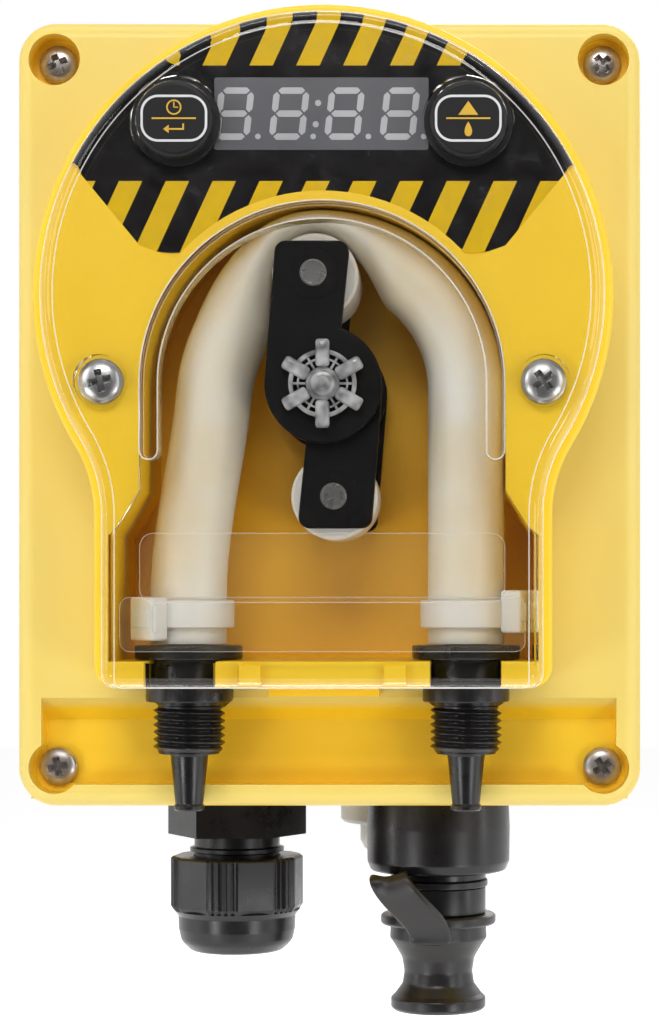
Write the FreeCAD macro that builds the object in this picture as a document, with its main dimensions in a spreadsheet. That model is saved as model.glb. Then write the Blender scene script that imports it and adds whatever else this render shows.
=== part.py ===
import FreeCAD, Part
import math
import os
import Sketcher

# Wall-mounted peristaltic dosing pump. Millimetres, +Z up, the front faces -Y.
# The wall is the plane Y = 0, and a "level" is the distance from the wall to the viewer,
# so a face at level 74 lies at Y = -74.

os.makedirs("parts", exist_ok=True)
doc = FreeCAD.newDocument("DosingPump")
Vector = FreeCAD.Vector

# driving sizes, kept in one sheet

drivingSizes = {
    # casing
    "caseWidth": 116.0,
    "caseHeight": 146.0,
    "caseCorner": 7.0,
    "caseWall": 2.6,
    "backWall": 3.0,
    "rearRim": 56.0,
    "gasketThick": 1.0,
    "faceLevel": 74.0,
    "bossLevel": 92.0,
    "edgeRound": 3.2,
    "screwInsetX": 7.0,
    "screwInsetZ": 7.2,
    "counterboreRadius": 4.8,
    # keyhole boss and clear cover
    "bossRadius": 52.0,
    "bossCentreZ": 20.0,
    "neckRim": 3.4,
    "neckArcZ": -19.5,
    "bossBottom": -50.2,
    "bossCorner": 3.6,
    "coverInset": 1.7,
    "coverLevel": 96.0,
    "coverScrewRoom": 6.7,
    "coverScrewZ": 4.3,
    # pump chamber
    "rotorZ": 4.0,
    "chamberFloor": 60.0,
    "chamberBottom": -45.6,
    "tieRoom": 12.1,
    "recessLevel": 67.5,
    # tube
    "tubeLevel": 77.4,
    "tubeRadius": 7.0,
    "tubeWall": 2.1,
    "tubeCentreRadius": 25.5,
    "tubeRoom": 0.2,
    "tubeEnd": -42.6,
    "squeezedThick": 4.4,
    "squeezeRoom": 0.5,
    # rotor
    "pinTilt": 5.0,
    "pinRadius": 2.4,
    "rollerRadius": 7.8,
    "rollerBore": 2.45,
    "rollerLength": 18.4,
    "plateThick": 2.5,
    "forkSpan": 21.0,
    "rearPlateLevel": 62.6,
    "hubRadius": 10.5,
    "shaftRadius": 3.0,
    # controls
    "buttonX": 26.0,
    "buttonZ": 50.5,
    "buttonRadius": 6.8,
    "displayWidth": 40.2,
    "displayHeight": 12.8,
    "displayZ": 51.8,
    "boardLevel": 79.0,
    "boardThick": 1.6,
    "boardRoom": 1.1,
    # lower fittings
    "fittingLevel": 40.0,
    "glandX": -20.2,
    "socketX": 19.8,
    "switchX": 10.0,
    "switchLevel": 14.6,
    # power board
    "powerBoardLevel": 22.0,
    "powerBoardInset": 6.0,
    # drive
    "gearboxRadius": 18.5,
    "gearboxLength": 22.0,
    "motorRadius": 18.0,
    "motorLength": 27.0,
    # wall plate
    "plateHoleX": 20.0,
    "plateHoleZ": 35.0,
    "plateHoleRadius": 2.25,
}

# the lower fittings are drawn for a casing that ends this far below the middle
drawnBottom = 73.0

derivedSizes = {
    "screwX": "caseWidth / 2 - screwInsetX",
    "screwZ": "caseHeight / 2 - screwInsetZ",
    "fittingShift": "%s - caseHeight / 2" % drawnBottom,
    "connectorX": "tubeCentreRadius",
    "chamberRadius": "tubeCentreRadius + tubeRadius + tubeRoom",
    "chamberLowerHalf": "connectorX + tieRoom",
    "neckHalfWidth": "chamberLowerHalf + neckRim",
    "coverScrewX": "chamberRadius + coverScrewRoom",
    "pinCircle": "chamberRadius - squeezedThick - squeezeRoom - rollerRadius",
    "frontRim": "rearRim + gasketThick",
    "innerFace": "faceLevel - caseWall",
    "bossInner": "bossLevel - caseWall",
    "chamberBack": "chamberFloor - caseWall",
    "rearPlateEnd": "rearPlateLevel + plateThick",
    "innerRearLevel": "rearPlateEnd + 0.1",
    "innerRearEnd": "innerRearLevel + plateThick",
    "lowerFrontLevel": "rearPlateEnd + forkSpan",
    "lowerFrontEnd": "lowerFrontLevel + plateThick",
    "upperFrontLevel": "innerRearEnd + forkSpan",
    "upperFrontEnd": "upperFrontLevel + plateThick",
    "motorFront": "chamberBack - gearboxLength",
    "motorBack": "chamberBack - gearboxLength - motorLength",
    "boardFront": "boardLevel + boardThick",
    "upperPinX": "-pinCircle * sin(pinTilt)",
    "upperPinZ": "rotorZ + pinCircle * cos(pinTilt)",
    "lowerPinX": "pinCircle * sin(pinTilt)",
    "lowerPinZ": "rotorZ - pinCircle * cos(pinTilt)",
}

sizes = doc.addObject("Spreadsheet::Sheet", "Sizes")


def fillSheet():
    row = 1
    for name, value in drivingSizes.items():
        sizes.set("A%d" % row, name)
        sizes.set("B%d" % row, str(value))
        sizes.setAlias("B%d" % row, name)
        row += 1
    doc.recompute()
    for name, formula in derivedSizes.items():
        sizes.set("A%d" % row, name)
        sizes.set("B%d" % row, "=" + formula)
        sizes.setAlias("B%d" % row, name)
        row += 1
    doc.recompute()


fillSheet()


def size(name):
    return float(sizes.get(name))


def number(value):
    # a size name, a size name with a minus sign, or a plain number
    if not isinstance(value, str):
        return float(value)
    if value.startswith("-"):
        return -size(value[1:])
    return size(value)


def text(value):
    # the same value as an expression
    if not isinstance(value, str):
        return repr(float(value))
    if value.startswith("-"):
        return "-Sizes." + value[1:]
    return "Sizes." + value


# helpers for bodies, sketches and features

def newBody(label):
    body = doc.addObject("PartDesign::Body", label)
    body.Label = label
    return body


def originPlane(body, role):
    for item in body.Origin.OriginFeatures:
        if item.Role == role:
            return item
    raise ValueError(role)


def newSketch(body, name, role="XZ_Plane", offset=0.0):
    sketch = body.newObject("Sketcher::SketchObject", name)
    sketch.AttachmentSupport = [(originPlane(body, role), "")]
    sketch.MapMode = "FlatFace"
    sketch.AttachmentOffset = FreeCAD.Placement(Vector(0, 0, number(offset)), FreeCAD.Rotation())
    if isinstance(offset, str):
        sketch.setExpression("AttachmentOffset.Base.z", text(offset))
    sketch.Visibility = False
    return sketch


def hold(sketch, kind, geometry, point, value):
    # holds one coordinate of a point; a zero is held by the sketch's own axis
    if abs(number(value)) < 1e-9:
        axis = -2 if kind == "DistanceX" else -1
        sketch.addConstraint(Sketcher.Constraint("PointOnObject", geometry, point, axis))
        return
    index = sketch.addConstraint(Sketcher.Constraint(kind, -1, 1, geometry, point, number(value)))
    if isinstance(value, str):
        sketch.setExpression("Constraints[%d]" % index, text(value))


def circle(sketch, radius, x=0.0, z=0.0):
    shape = Part.Circle(Vector(number(x), number(z), 0), Vector(0, 0, 1), number(radius))
    geometry = sketch.addGeometry(shape, False)
    index = sketch.addConstraint(Sketcher.Constraint("Radius", geometry, number(radius)))
    if isinstance(radius, str):
        sketch.setExpression("Constraints[%d]" % index, text(radius))
    hold(sketch, "DistanceX", geometry, 3, x)
    hold(sketch, "DistanceY", geometry, 3, z)


def polygon(sketch, corners):
    first = None
    last = None
    count = len(corners)
    for index in range(count):
        x, z = corners[index]
        nextX, nextZ = corners[(index + 1) % count]
        line = Part.LineSegment(Vector(number(x), number(z), 0), Vector(number(nextX), number(nextZ), 0))
        geometry = sketch.addGeometry(line, False)
        hold(sketch, "DistanceX", geometry, 1, x)
        hold(sketch, "DistanceY", geometry, 1, z)
        if last is not None:
            sketch.addConstraint(Sketcher.Constraint("Coincident", last, 2, geometry, 1))
        else:
            first = geometry
        last = geometry
    sketch.addConstraint(Sketcher.Constraint("Coincident", last, 2, first, 1))


def box(sketch, left, right, bottom, top):
    polygon(sketch, [(left, bottom), (right, bottom), (right, top), (left, top)])


def curves(sketch, pieces):
    # an outline worked out in code from the sheet, locked where it lies
    for piece in pieces:
        geometry = sketch.addGeometry(piece, False)
        sketch.addConstraint(Sketcher.Constraint("Block", geometry))


def line(startX, startZ, endX, endZ):
    return Part.LineSegment(Vector(startX, startZ, 0), Vector(endX, endZ, 0))


def arc(centreX, centreZ, radius, startAngle, endAngle):
    full = Part.Circle(Vector(centreX, centreZ, 0), Vector(0, 0, 1), radius)
    return Part.ArcOfCircle(full, math.radians(startAngle), math.radians(endAngle))


def roundedBox(left, right, bottom, top, corner):
    return [
        line(left + corner, bottom, right - corner, bottom),
        arc(right - corner, bottom + corner, corner, 270, 360),
        line(right, bottom + corner, right, top - corner),
        arc(right - corner, top - corner, corner, 0, 90),
        line(right - corner, top, left + corner, top),
        arc(left + corner, top - corner, corner, 90, 180),
        line(left, top - corner, left, bottom + corner),
        arc(left + corner, bottom + corner, corner, 180, 270),
    ]


def extrude(body, kind, name, start, end, draw, role="XZ_Plane"):
    # a pad or a pocket from one level to a higher one
    sketch = newSketch(body, name + "Sketch", role, start)
    draw(sketch)
    feature = body.newObject("PartDesign::" + kind, name)
    feature.Profile = sketch
    feature.Length = number(end) - number(start)
    feature.setExpression("Length", "%s - (%s)" % (text(end), text(start)))
    feature.Reversed = kind == "Pocket"
    return feature


def pad(body, name, start, end, draw, role="XZ_Plane"):
    return extrude(body, "Pad", name, start, end, draw, role)


def pocket(body, name, start, end, draw, role="XZ_Plane"):
    return extrude(body, "Pocket", name, start, end, draw, role)


def turned(body, kind, name, profile):
    # profile of (radius, height) corners, turned about the body's upright axis
    sketch = newSketch(body, name + "Sketch")
    polygon(sketch, profile)
    feature = body.newObject("PartDesign::" + kind, name)
    feature.Profile = sketch
    feature.ReferenceAxis = (sketch, ["V_Axis"])
    feature.Angle = 360
    return feature


def place(body, x=0.0, level=0.0, z=0.0):
    body.Placement.Base = Vector(number(x), -number(level), number(z))
    if isinstance(x, str):
        body.setExpression("Placement.Base.x", text(x))
    if isinstance(level, str):
        body.setExpression("Placement.Base.y", "-(%s)" % text(level))
    if isinstance(z, str):
        body.setExpression("Placement.Base.z", text(z))


def edgeNames(feature, wanted):
    doc.recompute()
    names = []
    for index, edge in enumerate(feature.Shape.Edges):
        if wanted(edge):
            names.append("Edge%d" % (index + 1))
    if not names:
        raise ValueError("no edges found on " + feature.Name)
    return names


def soften(body, kind, name, feature, amount, wanted):
    # a fillet or a chamfer on the edges that the test picks
    result = body.newObject("PartDesign::" + kind, name)
    result.Base = (feature, edgeNames(feature, wanted))
    if kind == "Fillet":
        result.Radius = number(amount)
        if isinstance(amount, str):
            result.setExpression("Radius", text(amount))
    else:
        result.Size = number(amount)
        if isinstance(amount, str):
            result.setExpression("Size", text(amount))
    return result


def atLevel(edge, level):
    # true for an edge that lies whole at one level
    limits = edge.BoundBox
    return abs(limits.YMin + level) < 1e-4 and abs(limits.YMax + level) < 1e-4


def originAxis(body, role):
    for item in body.Origin.OriginFeatures:
        if item.Role == role:
            return item
    raise ValueError(role)


def ring(body, name, feature, role, count):
    pattern = body.newObject("PartDesign::PolarPattern", name)
    pattern.Originals = [feature]
    pattern.Axis = (originAxis(body, role), [""])
    pattern.Angle = 360
    pattern.Occurrences = count
    body.Tip = pattern
    return pattern


# outlines that several bodies share

def keyhole(inset, corner):
    # a circle that flows through two hollow arcs into a straight neck
    radius = size("bossRadius")
    half = size("neckHalfWidth")
    centreZ = size("bossCentreZ")
    arcZ = size("neckArcZ")
    bottom = size("bossBottom")
    drop = centreZ - arcZ
    neckRadius = (half * half + drop * drop - radius * radius) / (2 * (radius - half))
    arcX = half + neckRadius
    slope = math.degrees(math.atan2(drop, arcX))
    side = half - inset
    return [
        arc(0, centreZ, radius - inset, -slope, 180 + slope),
        arc(-arcX, arcZ, neckRadius + inset, 0, slope),
        arc(arcX, arcZ, neckRadius + inset, 180 - slope, 180),
        line(-side, arcZ, -side, bottom + corner),
        line(side, arcZ, side, bottom + corner),
        arc(-side + corner, bottom + corner, corner, 180, 270),
        arc(side - corner, bottom + corner, corner, 270, 360),
        line(-side + corner, bottom, side - corner, bottom),
    ]


shoulderTop = -15.0
shoulderEnd = -23.0


def chamber(grow, bottomGrow):
    # the pump chamber: an arch on straight sides that widen near the bottom
    radius = size("chamberRadius") + grow
    centreZ = size("rotorZ")
    wide = size("chamberLowerHalf") + grow
    bottom = size("chamberBottom") - bottomGrow
    return [
        arc(0, centreZ, radius, 0, 180),
        line(-radius, centreZ, -radius, shoulderTop),
        line(radius, centreZ, radius, shoulderTop),
        line(-radius, shoulderTop, -wide, shoulderEnd),
        line(radius, shoulderTop, wide, shoulderEnd),
        line(-wide, shoulderEnd, -wide, bottom),
        line(wide, shoulderEnd, wide, bottom),
        line(-wide, bottom, wide, bottom),
    ]


overlayRadius = 49.4
overlayArchRoom = 1.7
overlayEnd = 27.0


def overlayOutline():
    centreZ = size("bossCentreZ")
    archZ = size("rotorZ")
    startX = overlayRadius * math.cos(math.radians(overlayEnd))
    startZ = centreZ + overlayRadius * math.sin(math.radians(overlayEnd))
    lobeX = 32.6
    lobeZ = 28.6
    archAngle = 40.5
    archRadius = size("chamberRadius") + overlayArchRoom
    innerX = archRadius * math.cos(math.radians(archAngle))
    innerZ = archZ + archRadius * math.sin(math.radians(archAngle))
    pieces = [
        arc(0, centreZ, overlayRadius, overlayEnd, 180 - overlayEnd),
        arc(0, archZ, archRadius, archAngle, 180 - archAngle),
    ]
    for side in (-1, 1):
        pieces.append(line(side * startX, startZ, side * lobeX, lobeZ))
        pieces.append(line(side * lobeX, lobeZ, side * innerX, innerZ))
    return pieces


def corners(draw):
    # calls the function once for each casing corner
    for sideX in ("", "-"):
        for sideZ in ("", "-"):
            draw(sideX + "screwX", sideZ + "screwZ")


# casing

screwSeat = 68.2
slopeStart = -52.6
slopeEnd = -57.0
driveScrewTurns = (90, 270)
driveScrewCircle = 15.5


def driveScrews(draw):
    # calls the function once for each screw that holds the gearbox to the chamber floor
    for turn in driveScrewTurns:
        angle = math.radians(turn)
        draw(driveScrewCircle * math.cos(angle), size("rotorZ") + driveScrewCircle * math.sin(angle))


def caseOutline(inset):
    half = size("caseWidth") / 2 - inset
    tall = size("caseHeight") / 2 - inset
    return roundedBox(-half, half, -tall, tall, size("caseCorner") - inset * 0.6)


def buildRearCase():
    body = newBody("rear_case")
    shell = pad(body, "Shell", 0, "rearRim", lambda s: curves(s, caseOutline(0)))
    soften(body, "Fillet", "BackEdge", shell, 3.0, lambda e: atLevel(e, 0))
    pocket(body, "Inside", "backWall", 60, lambda s: curves(s, caseOutline(size("caseWall"))))

    def pillars(sketch):
        corners(lambda x, z: circle(sketch, 5.4, x, z))

    pad(body, "Pillars", 2.0, "rearRim", pillars)

    def pilots(sketch):
        corners(lambda x, z: circle(sketch, 1.75, x, z))

    pocket(body, "PilotHoles", 20, 60, pilots)
    pad(body, "PlateSeat", 2.0, 6.0, lambda s: box(s, -34, 34, -49, 49))
    pocket(body, "PlateRecess", -1, 2.8, lambda s: box(s, -30.3, 30.3, -45.3, 45.3))

    def screwHeadRooms(sketch):
        for x in ("plateHoleX", "-plateHoleX"):
            for z in ("plateHoleZ", "-plateHoleZ"):
                circle(sketch, 5.0, x, z)

    pocket(body, "ScrewHeadRooms", 2, 5.0, screwHeadRooms)

    def hookSlots(sketch):
        for left in (-22.5, 13.5):
            box(sketch, left, left + 9, 14, 27)

    pocket(body, "HookSlots", 1, 7, hookSlots)

    def boardPosts(sketch):
        for x, z in powerPostPlaces():
            circle(sketch, 3.0, x, z)

    pad(body, "BoardPosts", 2.0, "powerBoardLevel", boardPosts)

    def boardPilots(sketch):
        for x, z in powerPostPlaces():
            circle(sketch, 1.15, x, z)

    pocket(body, "BoardPilots", size("powerBoardLevel") - screwShank - 1.5, 30, boardPilots)

    def fittingHoles(sketch):
        circle(sketch, 8.3, "glandX", "-fittingLevel")
        circle(sketch, 9.3, "socketX", "-fittingLevel")
        circle(sketch, 8.3, "switchX", "-switchLevel")

    bottom = -size("caseHeight") / 2
    pocket(body, "FittingHoles", bottom - 7, bottom + 13, fittingHoles, "XY_Plane")
    return body


def buildGasket():
    body = newBody("case_gasket")

    def cord(sketch):
        curves(sketch, caseOutline(0.5))
        curves(sketch, caseOutline(2.2))

    pad(body, "Cord", "rearRim", "frontRim", cord)
    return body


def buildFrontCase():
    body = newBody("front_case")
    face = pad(body, "Face", "frontRim", "faceLevel", lambda s: curves(s, caseOutline(0)))
    soften(body, "Fillet", "FaceEdge", face, "edgeRound", lambda e: atLevel(e, size("faceLevel")))
    pocket(body, "Inside", 50, "innerFace", lambda s: curves(s, caseOutline(size("caseWall"))))

    # seats of the four case screws
    def pillars(sketch):
        corners(lambda x, z: circle(sketch, 6.6, x, z))

    pad(body, "Pillars", "frontRim", 72, pillars)

    # block behind the recess for the hose connectors
    blockHalf = size("caseWidth") / 2 - 2.4
    blockBottom = 1.4 - size("caseHeight") / 2
    pad(body, "RecessBlock", 64.6, 72, lambda s: box(s, -blockHalf, blockHalf, blockBottom, -47))

    # keyhole boss, then the chamber block behind it
    boss = pad(body, "Boss", "innerFace", "bossLevel", lambda s: curves(s, keyhole(0, size("bossCorner"))))
    soften(body, "Fillet", "BossEdge", boss, 0.8, lambda e: atLevel(e, size("bossLevel")))
    pad(body, "ChamberBlock", "chamberBack", 75, lambda s: curves(s, chamber(size("caseWall"), 2.0)))

    # the boss is hollow above the chamber
    def hollow(sketch):
        centreZ = size("bossCentreZ")
        outer = size("bossRadius") - size("caseWall")
        archZ = size("rotorZ")
        inner = size("chamberRadius") + size("caseWall")
        floorZ = -5.0
        outerAngle = math.degrees(math.asin((floorZ - centreZ) / outer))
        innerAngle = math.degrees(math.asin((floorZ - archZ) / inner))
        outerX = outer * math.cos(math.radians(outerAngle))
        innerX = inner * math.cos(math.radians(innerAngle))
        curves(sketch, [
            arc(0, centreZ, outer, outerAngle, 180 - outerAngle),
            arc(0, archZ, inner, innerAngle, 180 - innerAngle),
            line(-outerX, floorZ, -innerX, floorZ),
            line(outerX, floorZ, innerX, floorZ),
        ])

    pocket(body, "BossHollow", 60, "bossInner", hollow)

    def coverPillars(sketch):
        circle(sketch, 4.4, "coverScrewX", "coverScrewZ")
        circle(sketch, 4.4, "-coverScrewX", "coverScrewZ")

    pad(body, "CoverPillars", 72, 90, coverPillars)

    # small raised pieces that the cover's lower edge rests on
    def tabs(sketch):
        for left in (-14.8, 11.0):
            box(sketch, left, left + 3.8, -50, -46.2)

    pad(body, "Tabs", 91, 93.3, tabs)
    pad(body, "LowerLip", 73, 89, lambda s: box(s, -9.9, 9.9, -51.9, -49.8))

    def boardPosts(sketch):
        for x, z in boardPostPlaces():
            circle(sketch, 2.2, x, z)

    pad(body, "BoardPosts", "boardFront", 90, boardPosts)

    # cuts
    pocket(body, "Chamber", "chamberFloor", 95, lambda s: curves(s, chamber(0, 0)))

    # recess round the hose threads: flat below, with a sloped top and room for the connector collars
    recessHalf = size("caseWidth") / 2 - 4.6

    def recessFloor(sketch):
        half = recessHalf
        bottom = 4.1 - size("caseHeight") / 2
        corner = 3.0
        curves(sketch, [
            line(-half, slopeEnd, half, slopeEnd),
            line(-half, slopeEnd, -half, bottom + corner),
            line(half, slopeEnd, half, bottom + corner),
            arc(-half + corner, bottom + corner, corner, 180, 270),
            arc(half - corner, bottom + corner, corner, 270, 360),
            line(-half + corner, bottom, half - corner, bottom),
        ])

    pocket(body, "Recess", "recessLevel", 80, recessFloor)

    def recessSlope(sketch):
        floorY = -size("recessLevel")
        polygon(sketch, [(-74.2, slopeStart), (floorY, slopeEnd), (-80, slopeEnd), (-80, slopeStart)])

    pocket(body, "RecessSlope", -recessHalf, recessHalf, recessSlope, "YZ_Plane")

    def collarRooms(sketch):
        circle(sketch, 8.5, "connectorX", "-tubeLevel")
        circle(sketch, 8.5, "-connectorX", "-tubeLevel")

    pocket(body, "CollarRooms", -64, -50.3, collarRooms, "XY_Plane")

    def counterbores(sketch):
        corners(lambda x, z: circle(sketch, "counterboreRadius", x, z))

    pocket(body, "Counterbores", screwSeat, 80, counterbores)

    def screwHoles(sketch):
        corners(lambda x, z: circle(sketch, 2.2, x, z))

    pocket(body, "ScrewHoles", 50, 70, screwHoles)

    def coverPilots(sketch):
        circle(sketch, 1.65, "coverScrewX", "coverScrewZ")
        circle(sketch, 1.65, "-coverScrewX", "coverScrewZ")

    pocket(body, "CoverPilots", 74, 95, coverPilots)
    pocket(body, "OverlayRecess", 91.6, 95, lambda s: curves(s, overlayOutline()))

    def panelHoles(sketch):
        half = size("displayWidth") / 2 + 0.3
        tall = size("displayHeight") / 2 + 0.3
        middle = size("displayZ")
        box(sketch, -half, half, middle - tall, middle + tall)
        circle(sketch, 3.0, "buttonX", "buttonZ")
        circle(sketch, 3.0, "-buttonX", "buttonZ")

    pocket(body, "PanelHoles", 88, 95, panelHoles)

    def boardPilots(sketch):
        for x, z in boardPostPlaces():
            circle(sketch, 0.9, x, z)

    pocket(body, "BoardPilots", 78, 87, boardPilots)

    # holes for the drive: its centring ring and its screws
    def driveHoles(sketch):
        circle(sketch, 6.3, 0, "rotorZ")
        driveScrews(lambda x, z: circle(sketch, 1.65, x, z))

    pocket(body, "DriveHoles", 50, 65, driveHoles)

    # slots for the two hose connectors, open to the front
    def slots(sketch):
        back = -size("tubeLevel")
        front = -96.0
        half = 6.4
        for side in (-1, 1):
            x = side * size("connectorX")
            curves(sketch, [
                arc(x, back, half, 0, 180),
                line(x - half, back, x - half, front),
                line(x + half, back, x + half, front),
                line(x - half, front, x + half, front),
            ])

    pocket(body, "ConnectorSlots", -53, -44, slots, "XY_Plane")
    return body


def buildCaseScrews():
    # four pan-head screws with cross recesses, one per corner
    body = newBody("case_screws")

    def shanks(sketch):
        corners(lambda x, z: circle(sketch, 1.7, x, z))

    def heads(sketch):
        corners(lambda x, z: circle(sketch, 3.7, x, z))

    pad(body, "Shanks", 46, screwSeat + 0.4, shanks)
    top = screwSeat + 3.0
    head = pad(body, "Heads", screwSeat, top, heads)
    soften(body, "Fillet", "HeadRound", head, 1.6, lambda e: atLevel(e, top))

    def crosses(sketch):
        corners(lambda x, z: crossShape(sketch, number(x), number(z), 2.0, 0.5))

    pocket(body, "CrossRecess", screwSeat + 1.2, 80, crosses)
    return body


def crossShape(sketch, x, z, reach, half):
    polygon(sketch, [
        (x - half, z - reach), (x + half, z - reach), (x + half, z - half), (x + reach, z - half),
        (x + reach, z + half), (x + half, z + half), (x + half, z + reach), (x - half, z + reach),
        (x - half, z + half), (x - reach, z + half), (x - reach, z - half), (x - half, z - half),
    ])


# clear cover with the parts moulded on it

archRibLevel = 88.2
archRibRoom = 0.25
archRibWide = 3.25
cupFloor = 93.4


def buildClearCover():
    body = newBody("clear_cover")
    inset = size("coverInset")
    plate = pad(body, "Plate", "bossLevel", "coverLevel", lambda s: curves(s, keyhole(inset, 2.4)))
    soften(body, "Fillet", "FrontEdge", plate, 2.6, lambda e: atLevel(e, size("coverLevel")))
    pocket(body, "Hollow", 90, 93.6, lambda s: curves(s, chamber(-0.2, 0.5)))

    def archRib(sketch):
        centreZ = size("rotorZ")
        end = -8.0
        outer = size("chamberRadius") - archRibRoom
        inner = outer - archRibWide
        middle = outer - archRibWide / 2
        half = archRibWide / 2
        pieces = [
            arc(0, centreZ, inner, 0, 180),
            arc(0, centreZ, outer, 0, 180),
        ]
        for side in (-1, 1):
            pieces.append(line(side * inner, centreZ, side * inner, end))
            pieces.append(line(side * outer, centreZ, side * outer, end))
            pieces.append(arc(side * middle, end, half, 180, 360))
        curves(sketch, pieces)

    pad(body, "ArchRib", archRibLevel, 94, archRib)

    # two stepped pads that stiffen the lower part over the tube ends
    def upperPad(sketch):
        half = size("chamberLowerHalf") - 5.1
        top = -22.7
        corner = 2.4
        curves(sketch, [
            line(-half, -35.0, half, -35.0),
            line(-half, -35.0, -half, top - corner),
            line(half, -35.0, half, top - corner),
            arc(-half + corner, top - corner, corner, 90, 180),
            arc(half - corner, top - corner, corner, 0, 90),
            line(-half + corner, top, half - corner, top),
        ])

    pad(body, "UpperPad", 92.9, 94, upperPad)
    padHalf = size("chamberLowerHalf") - 1.5
    pad(body, "LowerPad", 92.3, 94, lambda s: curves(s, roundedBox(-padHalf, padHalf, -43.8, -34.1, 1.8)))

    # tongues that close the connector slots
    def tongues(sketch):
        for side in (-1, 1):
            x = side * size("connectorX")
            box(sketch, x - 6.1, x + 6.1, -49.9, -45.9)

    pad(body, "Tongues", 83.8, 93, tongues)

    def cups(sketch):
        circle(sketch, 4.7, "coverScrewX", "coverScrewZ")
        circle(sketch, 4.7, "-coverScrewX", "coverScrewZ")

    pocket(body, "Cups", cupFloor, 100, cups)

    def holes(sketch):
        circle(sketch, 2.2, "coverScrewX", "coverScrewZ")
        circle(sketch, 2.2, "-coverScrewX", "coverScrewZ")

    pocket(body, "ScrewHoles", 90, 100, holes)

    def tabNotches(sketch):
        for left in (-15.0, 10.8):
            box(sketch, left, left + 4.2, -51, -45.9)

    pocket(body, "TabNotches", 90, 93.5, tabNotches)

    def buttonHoles(sketch):
        circle(sketch, 7.0, "buttonX", "buttonZ")
        circle(sketch, 7.0, "-buttonX", "buttonZ")

    pocket(body, "ButtonHoles", 90, 100, buttonHoles)

    def flangeSeats(sketch):
        circle(sketch, 8.2, "buttonX", "buttonZ")
        circle(sketch, 8.2, "-buttonX", "buttonZ")

    pocket(body, "ButtonSeats", 90, 94.2, flangeSeats)
    return body


def buildStar():
    # six-armed star moulded from frosted plastic, on the cover's inside in front of the shaft
    body = newBody("bearing_star")
    back = 91.4
    front = 93.6

    def ringShape(sketch):
        circle(sketch, 6.3, 0, "rotorZ")
        circle(sketch, 5.1, 0, "rotorZ")

    pad(body, "Ring", back, front, ringShape)
    pad(body, "Boss", back - 0.1, front, lambda s: circle(s, 2.4, 0, "rotorZ"))
    for index in range(3):
        angle = math.radians(90 + 60 * index)
        pad(body, "Arm%d" % (index + 1), back + 0.2, front, lambda s: bar(s, angle, 7.9, 1.15))
    return body


def bar(sketch, angle, reach, half):
    # a bar through the rotor centre, at an angle in the front plane
    centreZ = size("rotorZ")
    alongX = math.cos(angle)
    alongZ = math.sin(angle)
    points = []
    for along, across in ((-reach, -half), (reach, -half), (reach, half), (-reach, half)):
        points.append((along * alongX - across * alongZ, centreZ + along * alongZ + across * alongX))
    polygon(sketch, points)


def buildCoverScrews():
    body = newBody("cover_screws")

    def draw(radius):
        def both(sketch):
            circle(sketch, radius, "coverScrewX", "coverScrewZ")
            circle(sketch, radius, "-coverScrewX", "coverScrewZ")
        return both

    pad(body, "Shanks", 78, cupFloor + 0.4, draw(1.6))
    head = pad(body, "Heads", cupFloor, 96.2, draw(4.3))
    soften(body, "Fillet", "HeadRound", head, 1.9, lambda e: atLevel(e, 96.2))

    def crosses(sketch):
        for x in (size("coverScrewX"), -size("coverScrewX")):
            crossShape(sketch, x, size("coverScrewZ"), 2.3, 0.55)

    pocket(body, "CrossRecess", 94.4, 99, crosses)
    return body


# control panel

def buildOverlay():
    body = newBody("panel_overlay")

    def sheetShape(sketch):
        curves(sketch, overlayOutline())
        half = 18.9
        tall = 6.5
        middle = size("displayZ")
        curves(sketch, roundedBox(-half, half, middle - tall, middle + tall, 0.8))
        circle(sketch, 3.0, "buttonX", "buttonZ")
        circle(sketch, 3.0, "-buttonX", "buttonZ")

    pad(body, "Film", 91.6, "bossLevel", sheetShape)
    return body


def buildButton(label, x):
    # domed cap behind the cover, with a stem that reaches the switch on the board
    body = newBody(label)
    pad(body, "Flange", 93.1, 94.15, lambda s: circle(s, 7.9, 0, 0))
    cap = pad(body, "Cap", 93.6, 97.4, lambda s: circle(s, "buttonRadius", 0, 0))
    soften(body, "Fillet", "Dome", cap, 0.8, lambda e: atLevel(e, 97.4))
    pad(body, "Stem", 86.9, 93.4, lambda s: circle(s, 2.3, 0, 0))
    place(body, x, 0, "buttonZ")
    return body


def buildDisplay():
    body = newBody("display_module")
    half = size("displayWidth") / 2
    tall = size("displayHeight") / 2
    middle = size("displayZ")
    pad(body, "Block", 83.6, 91.5, lambda s: box(s, -half, half, middle - tall, middle + tall))

    def leads(sketch):
        for index in range(6):
            x = -6.35 + 2.54 * index
            for z in (middle - 5.08, middle + 5.08):
                box(sketch, x - 0.25, x + 0.25, z - 0.25, z + 0.25)

    pad(body, "Leads", "boardFront", 83.8, leads)
    return body


def controlBoardLow():
    return size("rotorZ") + size("chamberRadius") + size("caseWall") + size("boardRoom")


def boardPostPlaces():
    low = controlBoardLow() + 3.0
    return [(-33.0, low), (33.0, low), (-25.6, 57.2), (25.6, 57.2)]


def buildControlBoard():
    body = newBody("control_board")

    def outline(sketch):
        low = controlBoardLow()
        polygon(sketch, [(-36, low), (36, low), (36, 50.6), (25.4, 60.6), (-25.4, 60.6), (-36, 50.6)])
        for x, z in boardPostPlaces():
            circle(sketch, 1.1, x, z)

    pad(body, "Board", "boardLevel", "boardFront", outline)
    return body


def buildControlScrews():
    body = newBody("control_screws")

    def draw(radius):
        def four(sketch):
            for x, z in boardPostPlaces():
                circle(sketch, radius, x, z)
        return four

    pad(body, "Heads", 77.6, "boardLevel", draw(1.9))
    pad(body, "Shanks", 78.4, 85.5, draw(0.85))
    return body


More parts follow.
